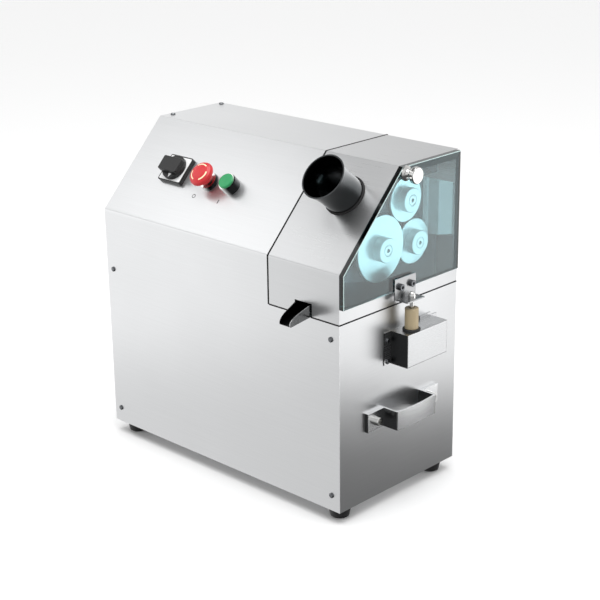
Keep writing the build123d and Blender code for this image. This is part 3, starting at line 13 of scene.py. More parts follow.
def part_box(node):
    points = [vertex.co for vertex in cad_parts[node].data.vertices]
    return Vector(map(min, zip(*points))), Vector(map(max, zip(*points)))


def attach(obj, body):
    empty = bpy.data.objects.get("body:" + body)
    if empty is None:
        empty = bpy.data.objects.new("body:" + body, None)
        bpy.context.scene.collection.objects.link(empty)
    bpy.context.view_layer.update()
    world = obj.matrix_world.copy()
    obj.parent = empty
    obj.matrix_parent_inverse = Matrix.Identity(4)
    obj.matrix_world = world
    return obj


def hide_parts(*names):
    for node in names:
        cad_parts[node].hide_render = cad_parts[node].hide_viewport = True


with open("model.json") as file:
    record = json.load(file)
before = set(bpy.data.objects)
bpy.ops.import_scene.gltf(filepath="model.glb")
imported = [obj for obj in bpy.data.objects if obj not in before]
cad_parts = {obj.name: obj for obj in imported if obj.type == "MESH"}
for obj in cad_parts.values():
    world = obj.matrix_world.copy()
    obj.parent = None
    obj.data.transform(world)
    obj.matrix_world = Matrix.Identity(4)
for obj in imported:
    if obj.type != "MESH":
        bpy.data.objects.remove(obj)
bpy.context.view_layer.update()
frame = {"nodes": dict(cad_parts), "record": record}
NODES = frame["nodes"]
MM = 0.001


# ---- Places taken from the frame ----
def joint(name):
    """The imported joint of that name."""
    return next(j for j in frame["record"]["behaviour"]["joints"] if j["name"] == name)


def middle(node):
    """The middle of a node's box."""
    low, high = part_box(node)
    return (Vector(low) + Vector(high)) / 2


STOP = Vector(joint("stop_twist")["pos_m"])
SELECTOR = Vector(joint("selector_turn")["pos_m"])
SLOPE_OUT = -Vector(joint("selector_turn")["axis"]).normalized()
SLOPE_ACROSS = Vector((1, 0, 0))
SLOPE_UP = SLOPE_OUT.cross(SLOPE_ACROSS).normalized()
START_ALONG = middle("start_button").x - STOP.x
START_UP_MM = 1.5
START = STOP + SLOPE_ACROSS * START_ALONG + SLOPE_UP * START_UP_MM * MM
SHAFTS = {name: Vector(joint(name + "_spin")["pos_m"]) for name in ("front", "top", "rear")}
SPOUT_MIDDLE = middle("juice_spout")


# ---- Colour and node helpers ----
def linear(code, strength=1.0):
    """A colour written as sRGB hex, in linear light."""
    values = [int(code[i:i + 2], 16) / 255 for i in (0, 2, 4)]
    light = [v / 12.92 if v <= 0.04045 else ((v + 0.055) / 1.055) ** 2.4 for v in values]
    return (*[v * strength for v in light], 1.0)


def add(tree, kind, inputs=None, **settings):
    """Adds a node with its settings, and its inputs as numbers or links."""
    node = tree.nodes.new(kind)
    for name, value in settings.items():
        setattr(node, name, value)
    for name, value in (inputs or {}).items():
        if isinstance(value, bpy.types.NodeSocket):
            tree.links.new(value, node.inputs[name])
        else:
            node.inputs[name].default_value = value
    return node


def new_finish(name):
    """An empty material's node tree."""
    material = bpy.data.materials.new(name)
    material.use_nodes = True
    material.node_tree.nodes.clear()
    return material, material.node_tree


def show(tree, surface):
    """Ends a material's tree with its surface."""
    add(tree, "ShaderNodeOutputMaterial", {"Surface": surface})


def pattern(tree, sizes_mm, detail=2.0, roughness=0.5, distortion=0.0):
    """Noise from 0 to 1 whose cells are that many millimetres along X, Y and Z."""
    where = add(tree, "ShaderNodeTexCoord").outputs["Object"]
    scale = tuple(1 / (size * MM) for size in sizes_mm)
    cells = add(tree, "ShaderNodeVectorMath", {0: where, 1: scale}, operation="MULTIPLY")
    noise = add(
        tree,
        "ShaderNodeTexNoise",
        {
            "Vector": cells.outputs[0],
            "Scale": 1.0,
            "Detail": detail,
            "Roughness": roughness,
            "Distortion": distortion,
        },
    )
    return noise.outputs["Fac"]


def between(tree, amount, low, high, start=0.0, end=1.0):
    """The amount, mapped from start...end to low...high."""
    limits = {"Value": amount, "From Min": start, "From Max": end, "To Min": low, "To Max": high}
    return add(tree, "ShaderNodeMapRange", limits).outputs["Result"]


def reckon(tree, operation, first, second=0.0):
    """One sum on numbers or links."""
    return add(tree, "ShaderNodeMath", {0: first, 1: second}, operation=operation).outputs[0]


def facing(tree, letter):
    """How far the surface faces along an axis, from -1 to 1."""
    normal = add(tree, "ShaderNodeTexCoord").outputs["Normal"]
    return add(tree, "ShaderNodeSeparateXYZ", {0: normal}).outputs[letter]


def blend(tree, amount, first, second):
    """A colour between two others, by an amount from 0 to 1."""
    mix = add(tree, "ShaderNodeMix", data_type="RGBA")
    for socket, value in ((mix.inputs[0], amount), (mix.inputs[6], first), (mix.inputs[7], second)):
        if isinstance(value, bpy.types.NodeSocket):
            tree.links.new(value, socket)
        else:
            socket.default_value = value
    return mix.outputs[2]


def relief(tree, height, depth_mm, strength):
    """A normal from a height from 0 to 1 that stands for that depth."""
    inputs = {"Height": height, "Distance": depth_mm * MM, "Strength": strength}
    return add(tree, "ShaderNodeBump", inputs).outputs["Normal"]


def direction(tree, axis):
    """A unit vector along X, Y or Z."""
    return add(tree, "ShaderNodeCombineXYZ", {axis: 1.0}).outputs[0]


# ---- Finishes ----
def brushed_stainless(name, tone, along, roughness=0.3, anisotropy=0.55, painted_reflection_tone=None):
    """Type 304 stainless sheet, belt-brushed one way.

    It gives a soft sheen that is stretched across the brushing. Faces that look to the front (-Y) can be
    given a darker tone, a painted dark reflection.
    """
    material, tree = new_finish(name)
    stroke_mm, spacing_mm = 90.0, 0.9  # real scratches are 0.05 mm apart; 0.9 mm is what still shows
    sizes = [spacing_mm] * 3
    sizes["XYZ".index(along)] = stroke_mm
    brushing = pattern(tree, sizes, detail=3.0, roughness=0.6)
    handling_mm = 110.0
    handling = pattern(tree, [handling_mm] * 3)
    strokes = between(tree, brushing, 0.0, 1.0, 0.3, 0.7)
    colour = blend(tree, strokes, linear(tone, 0.955), linear(tone, 1.0))
    if painted_reflection_tone is not None:
        # Painted dark reflection: faces that look to the front fade to the darker tone.
        painted_reflection_mask = between(tree, facing(tree, "Y"), 1.0, 0.0, -0.9, -0.5)
        colour = blend(tree, painted_reflection_mask, colour, linear(painted_reflection_tone))
    stroke_rough = between(tree, brushing, roughness - 0.03, roughness + 0.04)
    handling_rough = between(tree, handling, 0.0, 0.05)
    metal = add(
        tree,
        "ShaderNodeBsdfPrincipled",
        {
            "Base Color": colour,
            "Metallic": 1.0,
            "Roughness": reckon(tree, "ADD", stroke_rough, handling_rough),
            "Anisotropic": anisotropy,
            "Tangent": direction(tree, along),
            "Normal": relief(tree, brushing, 0.004, 0.5),
        },
    )
    show(tree, metal.outputs[0])
    return material


BUFFING_MM = 3.0


def polished_stainless(name, tone, roughness, inside=None, painted_shade_tone=None):
    """Bent stainless strap or tube, buffed bright.

    It gives sharp, dark and light reflections with faint buffing marks. inside makes a socket that is 1 on
    the part's inner faces, where painted shade in its own dark tone goes.
    """
    material, tree = new_finish(name)
    buffing = pattern(tree, [BUFFING_MM] * 3, detail=3.0)
    colour = blend(tree, buffing, linear(tone, 0.94), linear(tone, 1.0))
    rough = between(tree, buffing, roughness * 0.7, roughness * 1.5, 0.3, 0.7)
    if inside is not None:
        # Painted shade on the inner faces, darker and a little duller.
        shaded_faces = inside(tree)
        colour = blend(tree, shaded_faces, colour, linear(painted_shade_tone))
        rough = reckon(tree, "ADD", rough, between(tree, shaded_faces, 0.0, 0.12))
    metal = add(
        tree,
        "ShaderNodeBsdfPrincipled",
        {
            "Base Color": colour,
            "Metallic": 1.0,
            "Roughness": rough,
            "Normal": relief(tree, buffing, 0.006, 0.35),
        },
    )
    show(tree, metal.outputs[0])
    return material


def turned_steel(name, tone, centre, roughness=0.28):
    """Steel faced on a lathe. Fine rings round the shaft give a sheen that fans out from its middle."""
    ring_mm = 1.4  # real tool marks are 0.1 mm apart; 1.4 mm is what still shows
    material, tree = new_finish(name)
    where = add(tree, "ShaderNodeTexCoord").outputs["Object"]
    flat = add(tree, "ShaderNodeVectorMath", {0: where, 1: tuple(centre)}, operation="SUBTRACT").outputs[0]
    flat = add(tree, "ShaderNodeVectorMath", {0: flat, 1: (0, 1, 1)}, operation="MULTIPLY").outputs[0]
    radius = add(tree, "ShaderNodeVectorMath", {0: flat}, operation="LENGTH").outputs["Value"]
    step = reckon(tree, "MULTIPLY", radius, 1 / (ring_mm * MM))
    ring_inputs = {"W": step, "Scale": 1.0, "Detail": 3.0}
    rings = add(tree, "ShaderNodeTexNoise", ring_inputs, noise_dimensions="1D").outputs["Fac"]
    stain = pattern(tree, (25, 25, 25), detail=3.0)
    colour = blend(tree, rings, linear(tone, 0.93), linear(tone, 1.0))
    metal = add(
        tree,
        "ShaderNodeBsdfPrincipled",
        {
            "Base Color": blend(tree, between(tree, stain, 0.0, 0.12, 0.45, 0.8), colour, linear("8A8680")),
            "Metallic": 1.0,
            "Roughness": between(tree, rings, roughness - 0.05, roughness + 0.06, 0.3, 0.7),
            "Normal": relief(tree, rings, 0.02, 0.5),
            "Anisotropic": 0.5,
            "Tangent": add(tree, "ShaderNodeTangent", direction_type="RADIAL", axis="X").outputs[0],
        },
    )
    show(tree, metal.outputs[0])
    return material


def milled_plate(name, tone, roughness=0.42):
    """Hot-rolled steel plate, face-milled and blued. Broad dull tool marks."""
    material, tree = new_finish(name)
    passes = pattern(tree, (400, 1.6, 30), detail=2.0, distortion=0.3)
    patches = pattern(tree, (40, 40, 40), detail=4.0)
    colour = blend(tree, patches, linear(tone, 0.85), linear(tone, 1.1))
    metal = add(
        tree,
        "ShaderNodeBsdfPrincipled",
        {
            "Base Color": colour,
            "Metallic": 0.85,
            "Roughness": between(tree, passes, roughness - 0.06, roughness + 0.08),
            "Normal": relief(tree, passes, 0.02, 0.6),
        },
    )
    show(tree, metal.outputs[0])
    return material


def oiled_steel(name, tone):
    """Hobbed gear and laminated rotor steel under a film of oil. Dark, with wet highlights."""
    material, tree = new_finish(name)
    film = pattern(tree, (6, 6, 6), detail=3.0)
    metal = add(
        tree,
        "ShaderNodeBsdfPrincipled",
        {
            "Base Color": blend(tree, film, linear(tone, 0.8), linear(tone, 1.15)),
            "Metallic": 1.0,
            "Roughness": between(tree, film, 0.22, 0.42, 0.3, 0.7),
            "Normal": relief(tree, pattern(tree, (0.8, 0.8, 0.8)), 0.02, 0.5),
            "Coat Weight": 0.3,
            "Coat Roughness": 0.12,
        },
    )
    show(tree, metal.outputs[0])
    return material


def machinery_enamel(name, tone):
    """Cast iron under sprayed grey enamel. A satin skin with the casting's orange peel."""
    material, tree = new_finish(name)
    peel = pattern(tree, (2.2, 2.2, 2.2), detail=2.0)
    dust = pattern(tree, (30, 30, 30), detail=4.0)
    enamel = add(
        tree,
        "ShaderNodeBsdfPrincipled",
        {
            "Base Color": blend(tree, dust, linear(tone, 0.9), linear(tone, 1.08)),
            "Roughness": between(tree, dust, 0.34, 0.5),
            "Normal": relief(tree, peel, 0.06, 0.6),
            "Coat Weight": 0.15,
            "Coat Roughness": 0.3,
        },
    )
    show(tree, enamel.outputs[0])
    return material


def moulded(name, tone, roughness, grain_mm=0.6, grain_depth=0.02, coat=0.0, fleck=0.06):
    """Injection-moulded ABS, nylon or rubber. Even colour with a fine spark-eroded grain."""
    material, tree = new_finish(name)
    grain = pattern(tree, (grain_mm, grain_mm, grain_mm), detail=2.0)
    flow = pattern(tree, (14, 14, 14), detail=2.0)
    plastic = add(
        tree,
        "ShaderNodeBsdfPrincipled",
        {
            "Base Color": blend(tree, flow, linear(tone, 1 - fleck), linear(tone, 1 + fleck)),
            "Roughness": between(tree, grain, roughness * 0.88, roughness * 1.12, 0.3, 0.7),
            "IOR": 1.5,
            "Normal": relief(tree, grain, grain_depth, 0.5),
            "Coat Weight": coat,
            "Coat Roughness": 0.08,
        },
    )
    show(tree, plastic.outputs[0])
    return material


def tinted_acrylic(name, tint, edge_tint):
    """Cast acrylic pane, tinted blue-green and polished.

    Its sawn edges gather the tint and turn nearly black, and its chamfers are frosted and catch the light.
    """
    material, tree = new_finish(name)
    ripple = pattern(tree, (70, 70, 70), detail=1.0)
    flatness = reckon(tree, "ABSOLUTE", facing(tree, "X"))
    edge = between(tree, flatness, 1.0, 0.0, 0.45, 0.9)
    pane = add(
        tree,
        "ShaderNodeBsdfPrincipled",
        {
            "Base Color": blend(tree, edge, linear(tint), linear(edge_tint)),
            "Roughness": 0.0,
            "IOR": 1.49,
            "Transmission Weight": 1.0,
            "Normal": relief(tree, ripple, 0.03, 0.3),
        },
    )
    past_edge = between(tree, flatness, 0.0, 1.0, 0.5, 0.6)
    before_face = between(tree, flatness, 1.0, 0.0, 0.8, 0.9)
    on_chamfer = reckon(tree, "MULTIPLY", past_edge, before_face)
    frosted = add(tree, "ShaderNodeBsdfPrincipled", {"Base Color": linear("DDF6F4"), "Roughness": 0.35})
    frosting = reckon(tree, "MULTIPLY", on_chamfer, 0.7)
    pane = add(tree, "ShaderNodeMixShader", {0: frosting, 1: pane.outputs[0], 2: frosted.outputs[0]})
    through = add(tree, "ShaderNodeBsdfTransparent", {"Color": linear(tint)})
    lamp = add(tree, "ShaderNodeLightPath").outputs["Is Shadow Ray"]
    both = add(tree, "ShaderNodeMixShader", {0: lamp, 1: pane.outputs[0], 2: through.outputs[0]})
    show(tree, both.outputs[0])
    return material


def bearing_bronze(name):
    """Sintered bronze, turned and oiled. Warm, dull yellow-brown."""
    material, tree = new_finish(name)
    pores = pattern(tree, (0.7, 0.7, 0.7), detail=3.0)
    metal = add(
        tree,
        "ShaderNodeBsdfPrincipled",
        {
            "Base Color": blend(tree, pores, linear("7A5A2E"), linear("B08A4C")),
            "Metallic": 1.0,
            "Roughness": between(tree, pores, 0.3, 0.45),
            "Normal": relief(tree, pores, 0.02, 0.5),
        },
    )
    show(tree, metal.outputs[0])
    return material


def chromed_bezel(name):
    """Turned brass under satin chrome. Its skirt carries a painted reflection, white on one flank and
    nearly black on the other.
    """
    material, tree = new_finish(name)
    # Painted reflection: faces that look along +X turn nearly black.
    painted_reflection_flank = between(tree, facing(tree, "X"), 0.0, 1.0, 0.1, 0.6)
    metal = add(
        tree,
        "ShaderNodeBsdfPrincipled",
        {
            "Base Color": blend(tree, painted_reflection_flank, linear("E2E2E0"), linear("2A2B2C")),
            "Metallic": 1.0,
            "Roughness": between(tree, pattern(tree, [BUFFING_MM] * 3, detail=3.0), 0.14, 0.22),
        },
    )
    show(tree, metal.outputs[0])
    return material


SPOUT_CHANNEL_MM = 12.8  # half the channel's width
SPOUT_CHEEK_MM = 13.4  # from the spout's middle to within its cheek's sheet


def spout_channel_shade(tree):
    """1 on the spout's channel, where its painted shade goes, 0 on its outer faces."""
    where = add(tree, "ShaderNodeTexCoord").outputs["Object"]
    x = add(tree, "ShaderNodeSeparateXYZ", {0: where}).outputs["X"]
    off = reckon(tree, "ABSOLUTE", reckon(tree, "SUBTRACT", x, SPOUT_MIDDLE.x))
    return between(tree, off, 1.0, 0.0, SPOUT_CHANNEL_MM * MM, SPOUT_CHEEK_MM * MM)


SHEET_TONE = "D9DADB"
FINISH = {
    "sheet_along": brushed_stainless("brushed_304_along", SHEET_TONE, "X"),
    "sheet_end": brushed_stainless("brushed_304_end", SHEET_TONE, "Y", 0.32),
    "hood_sheet": brushed_stainless("brushed_304_hood", "C8C9CA", "X", 0.26),
    # The strap and the switch box get a painted dark reflection on faces that look to the front.
    "strap": brushed_stainless("brushed_304_strap", "E6E7E8", "Y", 0.2, 0.3, painted_reflection_tone="5A5B5C"),
    "bracket": brushed_stainless("brushed_304_bracket", "A2A3A4", "Z", 0.24, 0.3),
    "box": brushed_stainless("brushed_304_box", "C2C3C4", "Y", 0.24, 0.4, painted_reflection_tone="4A4B4C"),
    # The funnel's stainless is given a near-black tone: painted dark reflection and shade, not the steel's
    # own colour.
    "funnel": polished_stainless("buffed_304_funnel_painted_dark", "3C3E3F", 0.17),
    # The spout's channel is painted near black: painted shade inside the channel.
    "spout": polished_stainless("buffed_304_spout", "C2C3C4", 0.22, spout_channel_shade, "17181A"),
    "plated": polished_stainless("bright_nickel", "E2E2E0", 0.07),
    "bezel": chromed_bezel("chromed_brass_bezel"),
    "screw": polished_stainless("blued_screw_steel", "6E7073", 0.25),
    "plate": milled_plate("milled_blued_plate", "374047"),
    "roller": turned_steel("turned_roller_steel", "C9CBCC", SHAFTS["top"]),
    "gear": oiled_steel("oiled_gear_steel", "77746F"),
    "rotor": oiled_steel("oiled_rotor_steel", "6A6B6C"),
    "casting": machinery_enamel("grey_machinery_enamel", "4E565C"),
    "bronze": bearing_bronze("sintered_bronze"),
    "rubber": moulded("moulded_black_rubber", "1D1D1E", 0.62, grain_mm=0.8, grain_depth=0.04),
    "gasket": moulded("extruded_black_gasket", "0A0A0B", 0.7, grain_mm=0.8, grain_depth=0.02),
    "nylon": moulded("turned_natural_nylon", "A89879", 0.42, grain_mm=1.0, grain_depth=0.03),
    "black_abs": moulded("moulded_black_abs", "0B0B0C", 0.44),
    "red_abs": moulded("moulded_red_abs", "BC1A22", 0.4, coat=0.1, grain_depth=0.005),
    "green_abs": moulded("moulded_green_abs", "168A50", 0.4, coat=0.1, grain_depth=0.005),
    "grey_thermoset": moulded("moulded_grey_thermoset", "5D6063", 0.45),
    "legend": moulded("printed_silver_legend", "E9EAEA", 0.38, grain_mm=0.5, grain_depth=0.005, fleck=0.02),
    "ink": moulded("screen_printed_ink", "4C4F51", 0.6, grain_mm=0.5, grain_depth=0.01),
    "arrow_ink": moulded("pad_printed_cream_ink", "F3DDB6", 0.5, grain_mm=0.5, grain_depth=0.01),
    "pane": tinted_acrylic("cast_blue_green_acrylic", "CDE9ED", "14383A"),
}
for shaft, place in SHAFTS.items():
    FINISH[shaft + "_face"] = turned_steel("turned_face_" + shaft, "E6EAEB", place, roughness=0.34)

WEARS = {
    "sheet_along": ["front_cover", "top_cover", "base_pan", "deck_plate"],
    "sheet_end": ["left_end_panel", "right_end_panel"],
    "hood_sheet": ["hood_shell", "hood_top"],
    "strap": ["carry_handle", "bagasse_chute", "juice_tray", "fixed_hinge_leaf", "moving_hinge_leaf"],
    "bracket": ["interlock_bracket"],
    "box": ["switch_box"],
    "funnel": ["feed_funnel"],
    "spout": ["juice_spout"],
    "plated": ["handle_bolts", "interlock_pin", "interlock_plunger", "window_knob", "hinge_pin"],
    "screw": ["panel_screws", "bracket_screws"],
    "plate": ["roller_bulkhead", "gear_plate", "bearing_plate", "plate_spacers"],
    "roller": ["front_roller", "top_roller", "rear_roller", "guide_bar"],
    "gear": ["front_gear", "top_gear", "rear_gear", "drive_pinion"],
    "rotor": ["motor_rotor"],
    "casting": ["motor_housing", "gearbox"],
    "bronze": ["shaft_bushes"],
    "rubber": ["feet", "interlock_ring"],
    "gasket": ["funnel_seal"],
    "nylon": ["interlock_bush"],
    "black_abs": ["selector_plate", "selector_knob", "stop_stem", "cable_gland"],
    "red_abs": ["stop_button"],
    "green_abs": ["start_button"],
    "grey_thermoset": ["selector_body", "contact_blocks", "contactor", "interlock_switch"],
    "bezel": ["stop_collar", "start_collar"],
    "pane": ["hood_window"],
    "front_face": ["front_disc"],
    "top_face": ["top_disc"],
    "rear_face": ["rear_disc"],
}


def wear(thing, finish):
    """Gives a piece one finish all over."""
    thing.data.materials.clear()
    thing.data.materials.append(FINISH[finish])


for finish, names in WEARS.items():
    for name in names:
        wear(NODES[name], finish)


SHARP_EDGE_DEG = 38
DEBURRED_MM = {
    "carry_handle": 0.5,
    "switch_box": 0.4,
    "selector_plate": 0.8,
    "interlock_bracket": 0.3,
    "juice_spout": 0.3,
}


def break_edges(node, width_mm):
    """The small radius that deburring leaves on a piece's sharp edges."""
    edge = NODES[node].modifiers.new("deburred", "BEVEL")
    edge.width = width_mm * MM
    edge.segments = 2
    edge.limit_method = "ANGLE"
    edge.angle_limit = math.radians(SHARP_EDGE_DEG)
    edge.use_clamp_overlap = True


for node, width_mm in DEBURRED_MM.items():
    break_edges(node, width_mm)


# ---- New pieces ----
def piece(name, mesh_maker, body, finish):
    """A new mesh piece that rides on a body."""
    mesh = bpy.data.meshes.new(name)
    shape = bmesh.new()
    mesh_maker(shape)
    bmesh.ops.recalc_face_normals(shape, faces=shape.faces)
    shape.to_mesh(mesh)
    shape.free()
    thing = bpy.data.objects.new(name, mesh)
    bpy.context.collection.objects.link(thing)
    wear(thing, finish)
    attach(thing, body)
    return thing


def on_slope(at, height_mm):
    """A frame on the control panel's slope: x across, y up the slope, z out."""
    turn = Matrix((SLOPE_ACROSS, SLOPE_UP, SLOPE_OUT)).transposed().to_4x4()
    return Matrix.Translation(at + SLOPE_OUT * height_mm * MM) @ turn


def slab(shape, outline, thick_mm, place):
    """A flat slab from an outline in millimetres, standing on a placed plane."""
    low = [shape.verts.new(place @ Vector((x * MM, y * MM, 0))) for x, y in outline]
    high = [shape.verts.new(place @ Vector((x * MM, y * MM, thick_mm * MM))) for x, y in outline]
    shape.faces.new(low[::-1])
    shape.faces.new(high)
    for i in range(len(outline)):
        j = (i + 1) % len(outline)
        shape.faces.new((low[i], low[j], high[j], high[i]))


def ring_slab(shape, inner, outer, thick_mm, place):
    """A slab between two outlines with the same number of points."""
    rows = []
    for outline, height in ((inner, 0), (outer, 0), (outer, thick_mm), (inner, thick_mm)):
        rows.append([shape.verts.new(place @ Vector((x * MM, y * MM, height * MM))) for x, y in outline])
    count = len(inner)
    for a, b in ((0, 1), (1, 2), (2, 3), (3, 0)):
        for i in range(count):
            j = (i + 1) % count
            shape.faces.new((rows[a][i], rows[a][j], rows[b][j], rows[b][i]))


def rounded_rectangle(width, height, radius, steps=6):
    """The points of a rectangle with round corners, round its middle."""
    points = []
    for cx, cy, start in ((1, 1, 0), (-1, 1, 90), (-1, -1, 180), (1, -1, 270)):
        for step in range(steps + 1):
            angle = math.radians(start + 90 * step / steps)
            x = cx * (width / 2 - radius) + radius * math.cos(angle)
            y = cy * (height / 2 - radius) + radius * math.sin(angle)
            points.append((x, y))
    return points


def circle(radius, steps=48):
    """The points of a circle round its middle."""
    turns = [2 * math.pi * i / steps for i in range(steps)]
    return [(radius * math.cos(turn), radius * math.sin(turn)) for turn in turns]


def spread_circle(radius, like):
    """A circle's points in the same directions as another outline's."""
    return [(radius * x / math.hypot(x, y), radius * y / math.hypot(x, y)) for x, y in like]


# ---- Rubber strips on the housing's side of the seam round the hood ----
HOOD_LOW, HOOD_HIGH = (Vector(corner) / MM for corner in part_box("hood_shell"))
SPOUT_LOW, SPOUT_HIGH = (Vector(corner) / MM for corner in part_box("juice_spout"))
FRONT_MM, TOP_MM = HOOD_LOW.y, HOOD_HIGH.z
BACK_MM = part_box("top_cover")[1][1] / MM
BEND_MM, SETBACK_MM = 381.0, 124.0  # where the front turns into the slope, and how deep the slope is
STRIP_T, STRIP_FILL, STRIP_PLAY = 1.55, 1.5, 0.1  # beside the hood, under it, and the gap to it
SEAM_X = (HOOD_LOW.x - STRIP_T, HOOD_LOW.x - STRIP_PLAY)
SEAM_Z = (HOOD_LOW.z - STRIP_FILL, HOOD_LOW.z - STRIP_PLAY)
STRIP_IN, STRIP_DEEP = 0.15, 2.6  # from the sheet's face to the strip's outer and inner faces
LIP_WIDE, LIP_TALL = 1.3, 0.7  # how far the lip laps over the covers' edges
LIP_PROUD, LIP_GAP = 0.35, 0.03
LIP_LAP = 0.3  # the lip's hold on the strip
SPOUT_PLAY_MM = 0.5
CORNER_PLAY_MM = 0.01


def housing_outline(inset_mm, low_mm):
    """The housing's outline across the machine, (Y, Z) in millimetres, moved in by an inset."""
    slope = math.atan2(TOP_MM - BEND_MM, SETBACK_MM)
    bend = BEND_MM + inset_mm * ((1 - math.sin(slope)) * math.tan(slope) - math.cos(slope))
    top = TOP_MM - inset_mm
    front = FRONT_MM + inset_mm
    return [
        (front, low_mm),
        (front, bend),
        (front + (top - bend) / math.tan(slope), top),
        (BACK_MM - inset_mm, top),
        (BACK_MM - inset_mm, low_mm),
    ]


def box_shape(shape, x, y, z):
    """A box between two X, two Y and two Z values in millimetres."""
    corners = [(x[i], y[j], z[k]) for i in (0, 1) for j in (0, 1) for k in (0, 1)]
    points = [shape.verts.new(Vector(corner) * MM) for corner in corners]
    for face in ((0, 1, 3, 2), (4, 6, 7, 5), (0, 4, 5, 1), (2, 3, 7, 6), (0, 2, 6, 4), (1, 5, 7, 3)):
        shape.faces.new([points[i] for i in face])


def strip_round_housing(shape, span_x, insets):
    """A strip that follows the housing's outline, between two insets from it."""
    outer, inner = (housing_outline(inset, SEAM_Z[0]) for inset in insets)
    edges = [(x, line) for x in span_x for line in (outer, inner)]
    rows = [[shape.verts.new(Vector((x, y, z)) * MM) for y, z in line] for x, line in edges]
    for a, b in ((0, 1), (1, 3), (3, 2), (2, 0)):
        for i in range(len(outer) - 1):
            shape.faces.new((rows[a][i], rows[a][i + 1], rows[b][i + 1], rows[b][i]))
    for i in (0, -1):
        shape.faces.new([rows[k][i] for k in (0, 1, 3, 2)])


def side_strip(shape):
    """The strip left of the hood, with a lip over the covers' edges."""
    strip_round_housing(shape, SEAM_X, (STRIP_IN, STRIP_DEEP))
    strip_round_housing(shape, (SEAM_X[0] - LIP_WIDE, SEAM_X[0] + LIP_LAP), (-LIP_PROUD, -LIP_GAP))


def run_under_hood(shape, y, end_x, z):
    """A strip along the front, either side of the spout, and on along the end to the back."""
    box_shape(shape, (HOOD_LOW.x, SPOUT_LOW.x - SPOUT_PLAY_MM), y, z)
    box_shape(shape, (SPOUT_HIGH.x + SPOUT_PLAY_MM, end_x[1]), y, z)
    box_shape(shape, end_x, (y[1] + CORNER_PLAY_MM, BACK_MM - STRIP_IN), z)


def low_strip(shape):
    """The strip under the hood's lower edge, with its lip."""
    strip_y = (FRONT_MM + STRIP_IN, FRONT_MM + STRIP_DEEP)
    strip_x = (HOOD_HIGH.x - STRIP_DEEP, HOOD_HIGH.x - STRIP_IN)
    run_under_hood(shape, strip_y, strip_x, SEAM_Z)
    lip_y = (FRONT_MM - LIP_PROUD, FRONT_MM - LIP_GAP)
    lip_x = (HOOD_HIGH.x + LIP_GAP, HOOD_HIGH.x + LIP_PROUD)
    run_under_hood(shape, lip_y, lip_x, (SEAM_Z[0] - LIP_TALL, SEAM_Z[0] + LIP_LAP))


piece("hood_side_gasket", side_strip, "housing", "gasket")
piece("hood_low_gasket", low_strip, "housing", "gasket")


# ---- The selector's legend and knob ----
PLATE_W, PLATE_H, PLATE_T = 50.0, 46.0, 7.0
LEGEND_RIM, LEGEND_CORNER_R, LEGEND_HOLE_R, LEGEND_T = 2.0, 2.0, 7.0, 0.25
SKIRT_R, SKIRT_UP, SKIRT_H = 20.5, PLATE_T + 0.4, 6.6
SKIRT_TOP = SKIRT_UP + SKIRT_H
GRIP_L, GRIP_W, GRIP_H, GRIP_CORNER_R = 40.0, 24.0, 9.0, 2.5
STEM_R, STEM_FROM, STEM_L = 5.0, -18.0, PLATE_T + 18.4
POINTER_X, POINTER_HALF_W, POINTER_Y, POINTER_TIP_Y, POINTER_T = 2.5, 3.0, -12.6, -19.0, 0.3
MOULDED_R = 0.8


def legend_shape(shape):
    """A silver plate on the selector's black frame, round the knob's stem."""
    rim = rounded_rectangle(PLATE_W - 2 * LEGEND_RIM, PLATE_H - 2 * LEGEND_RIM, LEGEND_CORNER_R)
    ring_slab(shape, spread_circle(LEGEND_HOLE_R, rim), rim, LEGEND_T, on_slope(SELECTOR, PLATE_T))


def knob_shape(shape):
    """A low skirt with a broad grip block across it, on its stem."""
    slab(shape, circle(SKIRT_R), SKIRT_H, on_slope(SELECTOR, SKIRT_UP))
    slab(shape, rounded_rectangle(GRIP_L, GRIP_W, GRIP_CORNER_R), GRIP_H, on_slope(SELECTOR, SKIRT_TOP))
    slab(shape, circle(STEM_R, 24), STEM_L, on_slope(SELECTOR, STEM_FROM))


def pointer_shape(shape):
    """A white triangle on the skirt, below the grip."""
    triangle = [
        (POINTER_X - POINTER_HALF_W, POINTER_Y),
        (POINTER_X, POINTER_TIP_Y),
        (POINTER_X + POINTER_HALF_W, POINTER_Y),
    ]
    slab(shape, triangle, POINTER_T, on_slope(SELECTOR, SKIRT_TOP))


piece("selector_legend", legend_shape, "housing", "legend")
knob = piece("selector_grip", knob_shape, "selector", "black_abs")
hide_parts("selector_knob")
rounding = knob.modifiers.new("moulded_edges", "BEVEL")
rounding.width = MOULDED_R * MM
rounding.segments = 3
rounding.limit_method = "ANGLE"
piece("selector_pointer", pointer_shape, "selector", "legend")


# ---- Marks of the two buttons ----
ARROW_INNER_R, ARROW_OUTER_R, ARROW_T = 12.8, 14.7, 0.25
ARROW_STARTS, ARROW_SWEEP, ARROW_STEPS = (58, 178, 298), 76, 16
CROWN = ((0, 31.0), (8, 30.6), (14, 29.4), (18.5, 27.0), (20, 24.2))  # radius, height above the slope
MARK_T = 0.12
RING_INNER_R, RING_OUTER_R = 2.3, 3.4
BAR_HALF_W, BAR_HALF_L = 0.8, 3.3


def crown_height(radius):
    """The stop button's crown above the slope at a radius, in millimetres."""
    for (r0, h0), (r1, h1) in zip(CROWN, CROWN[1:]):
        if radius <= r1:
            return h0 + (h1 - h0) * (radius - r0) / (r1 - r0)
    return CROWN[-1][1]


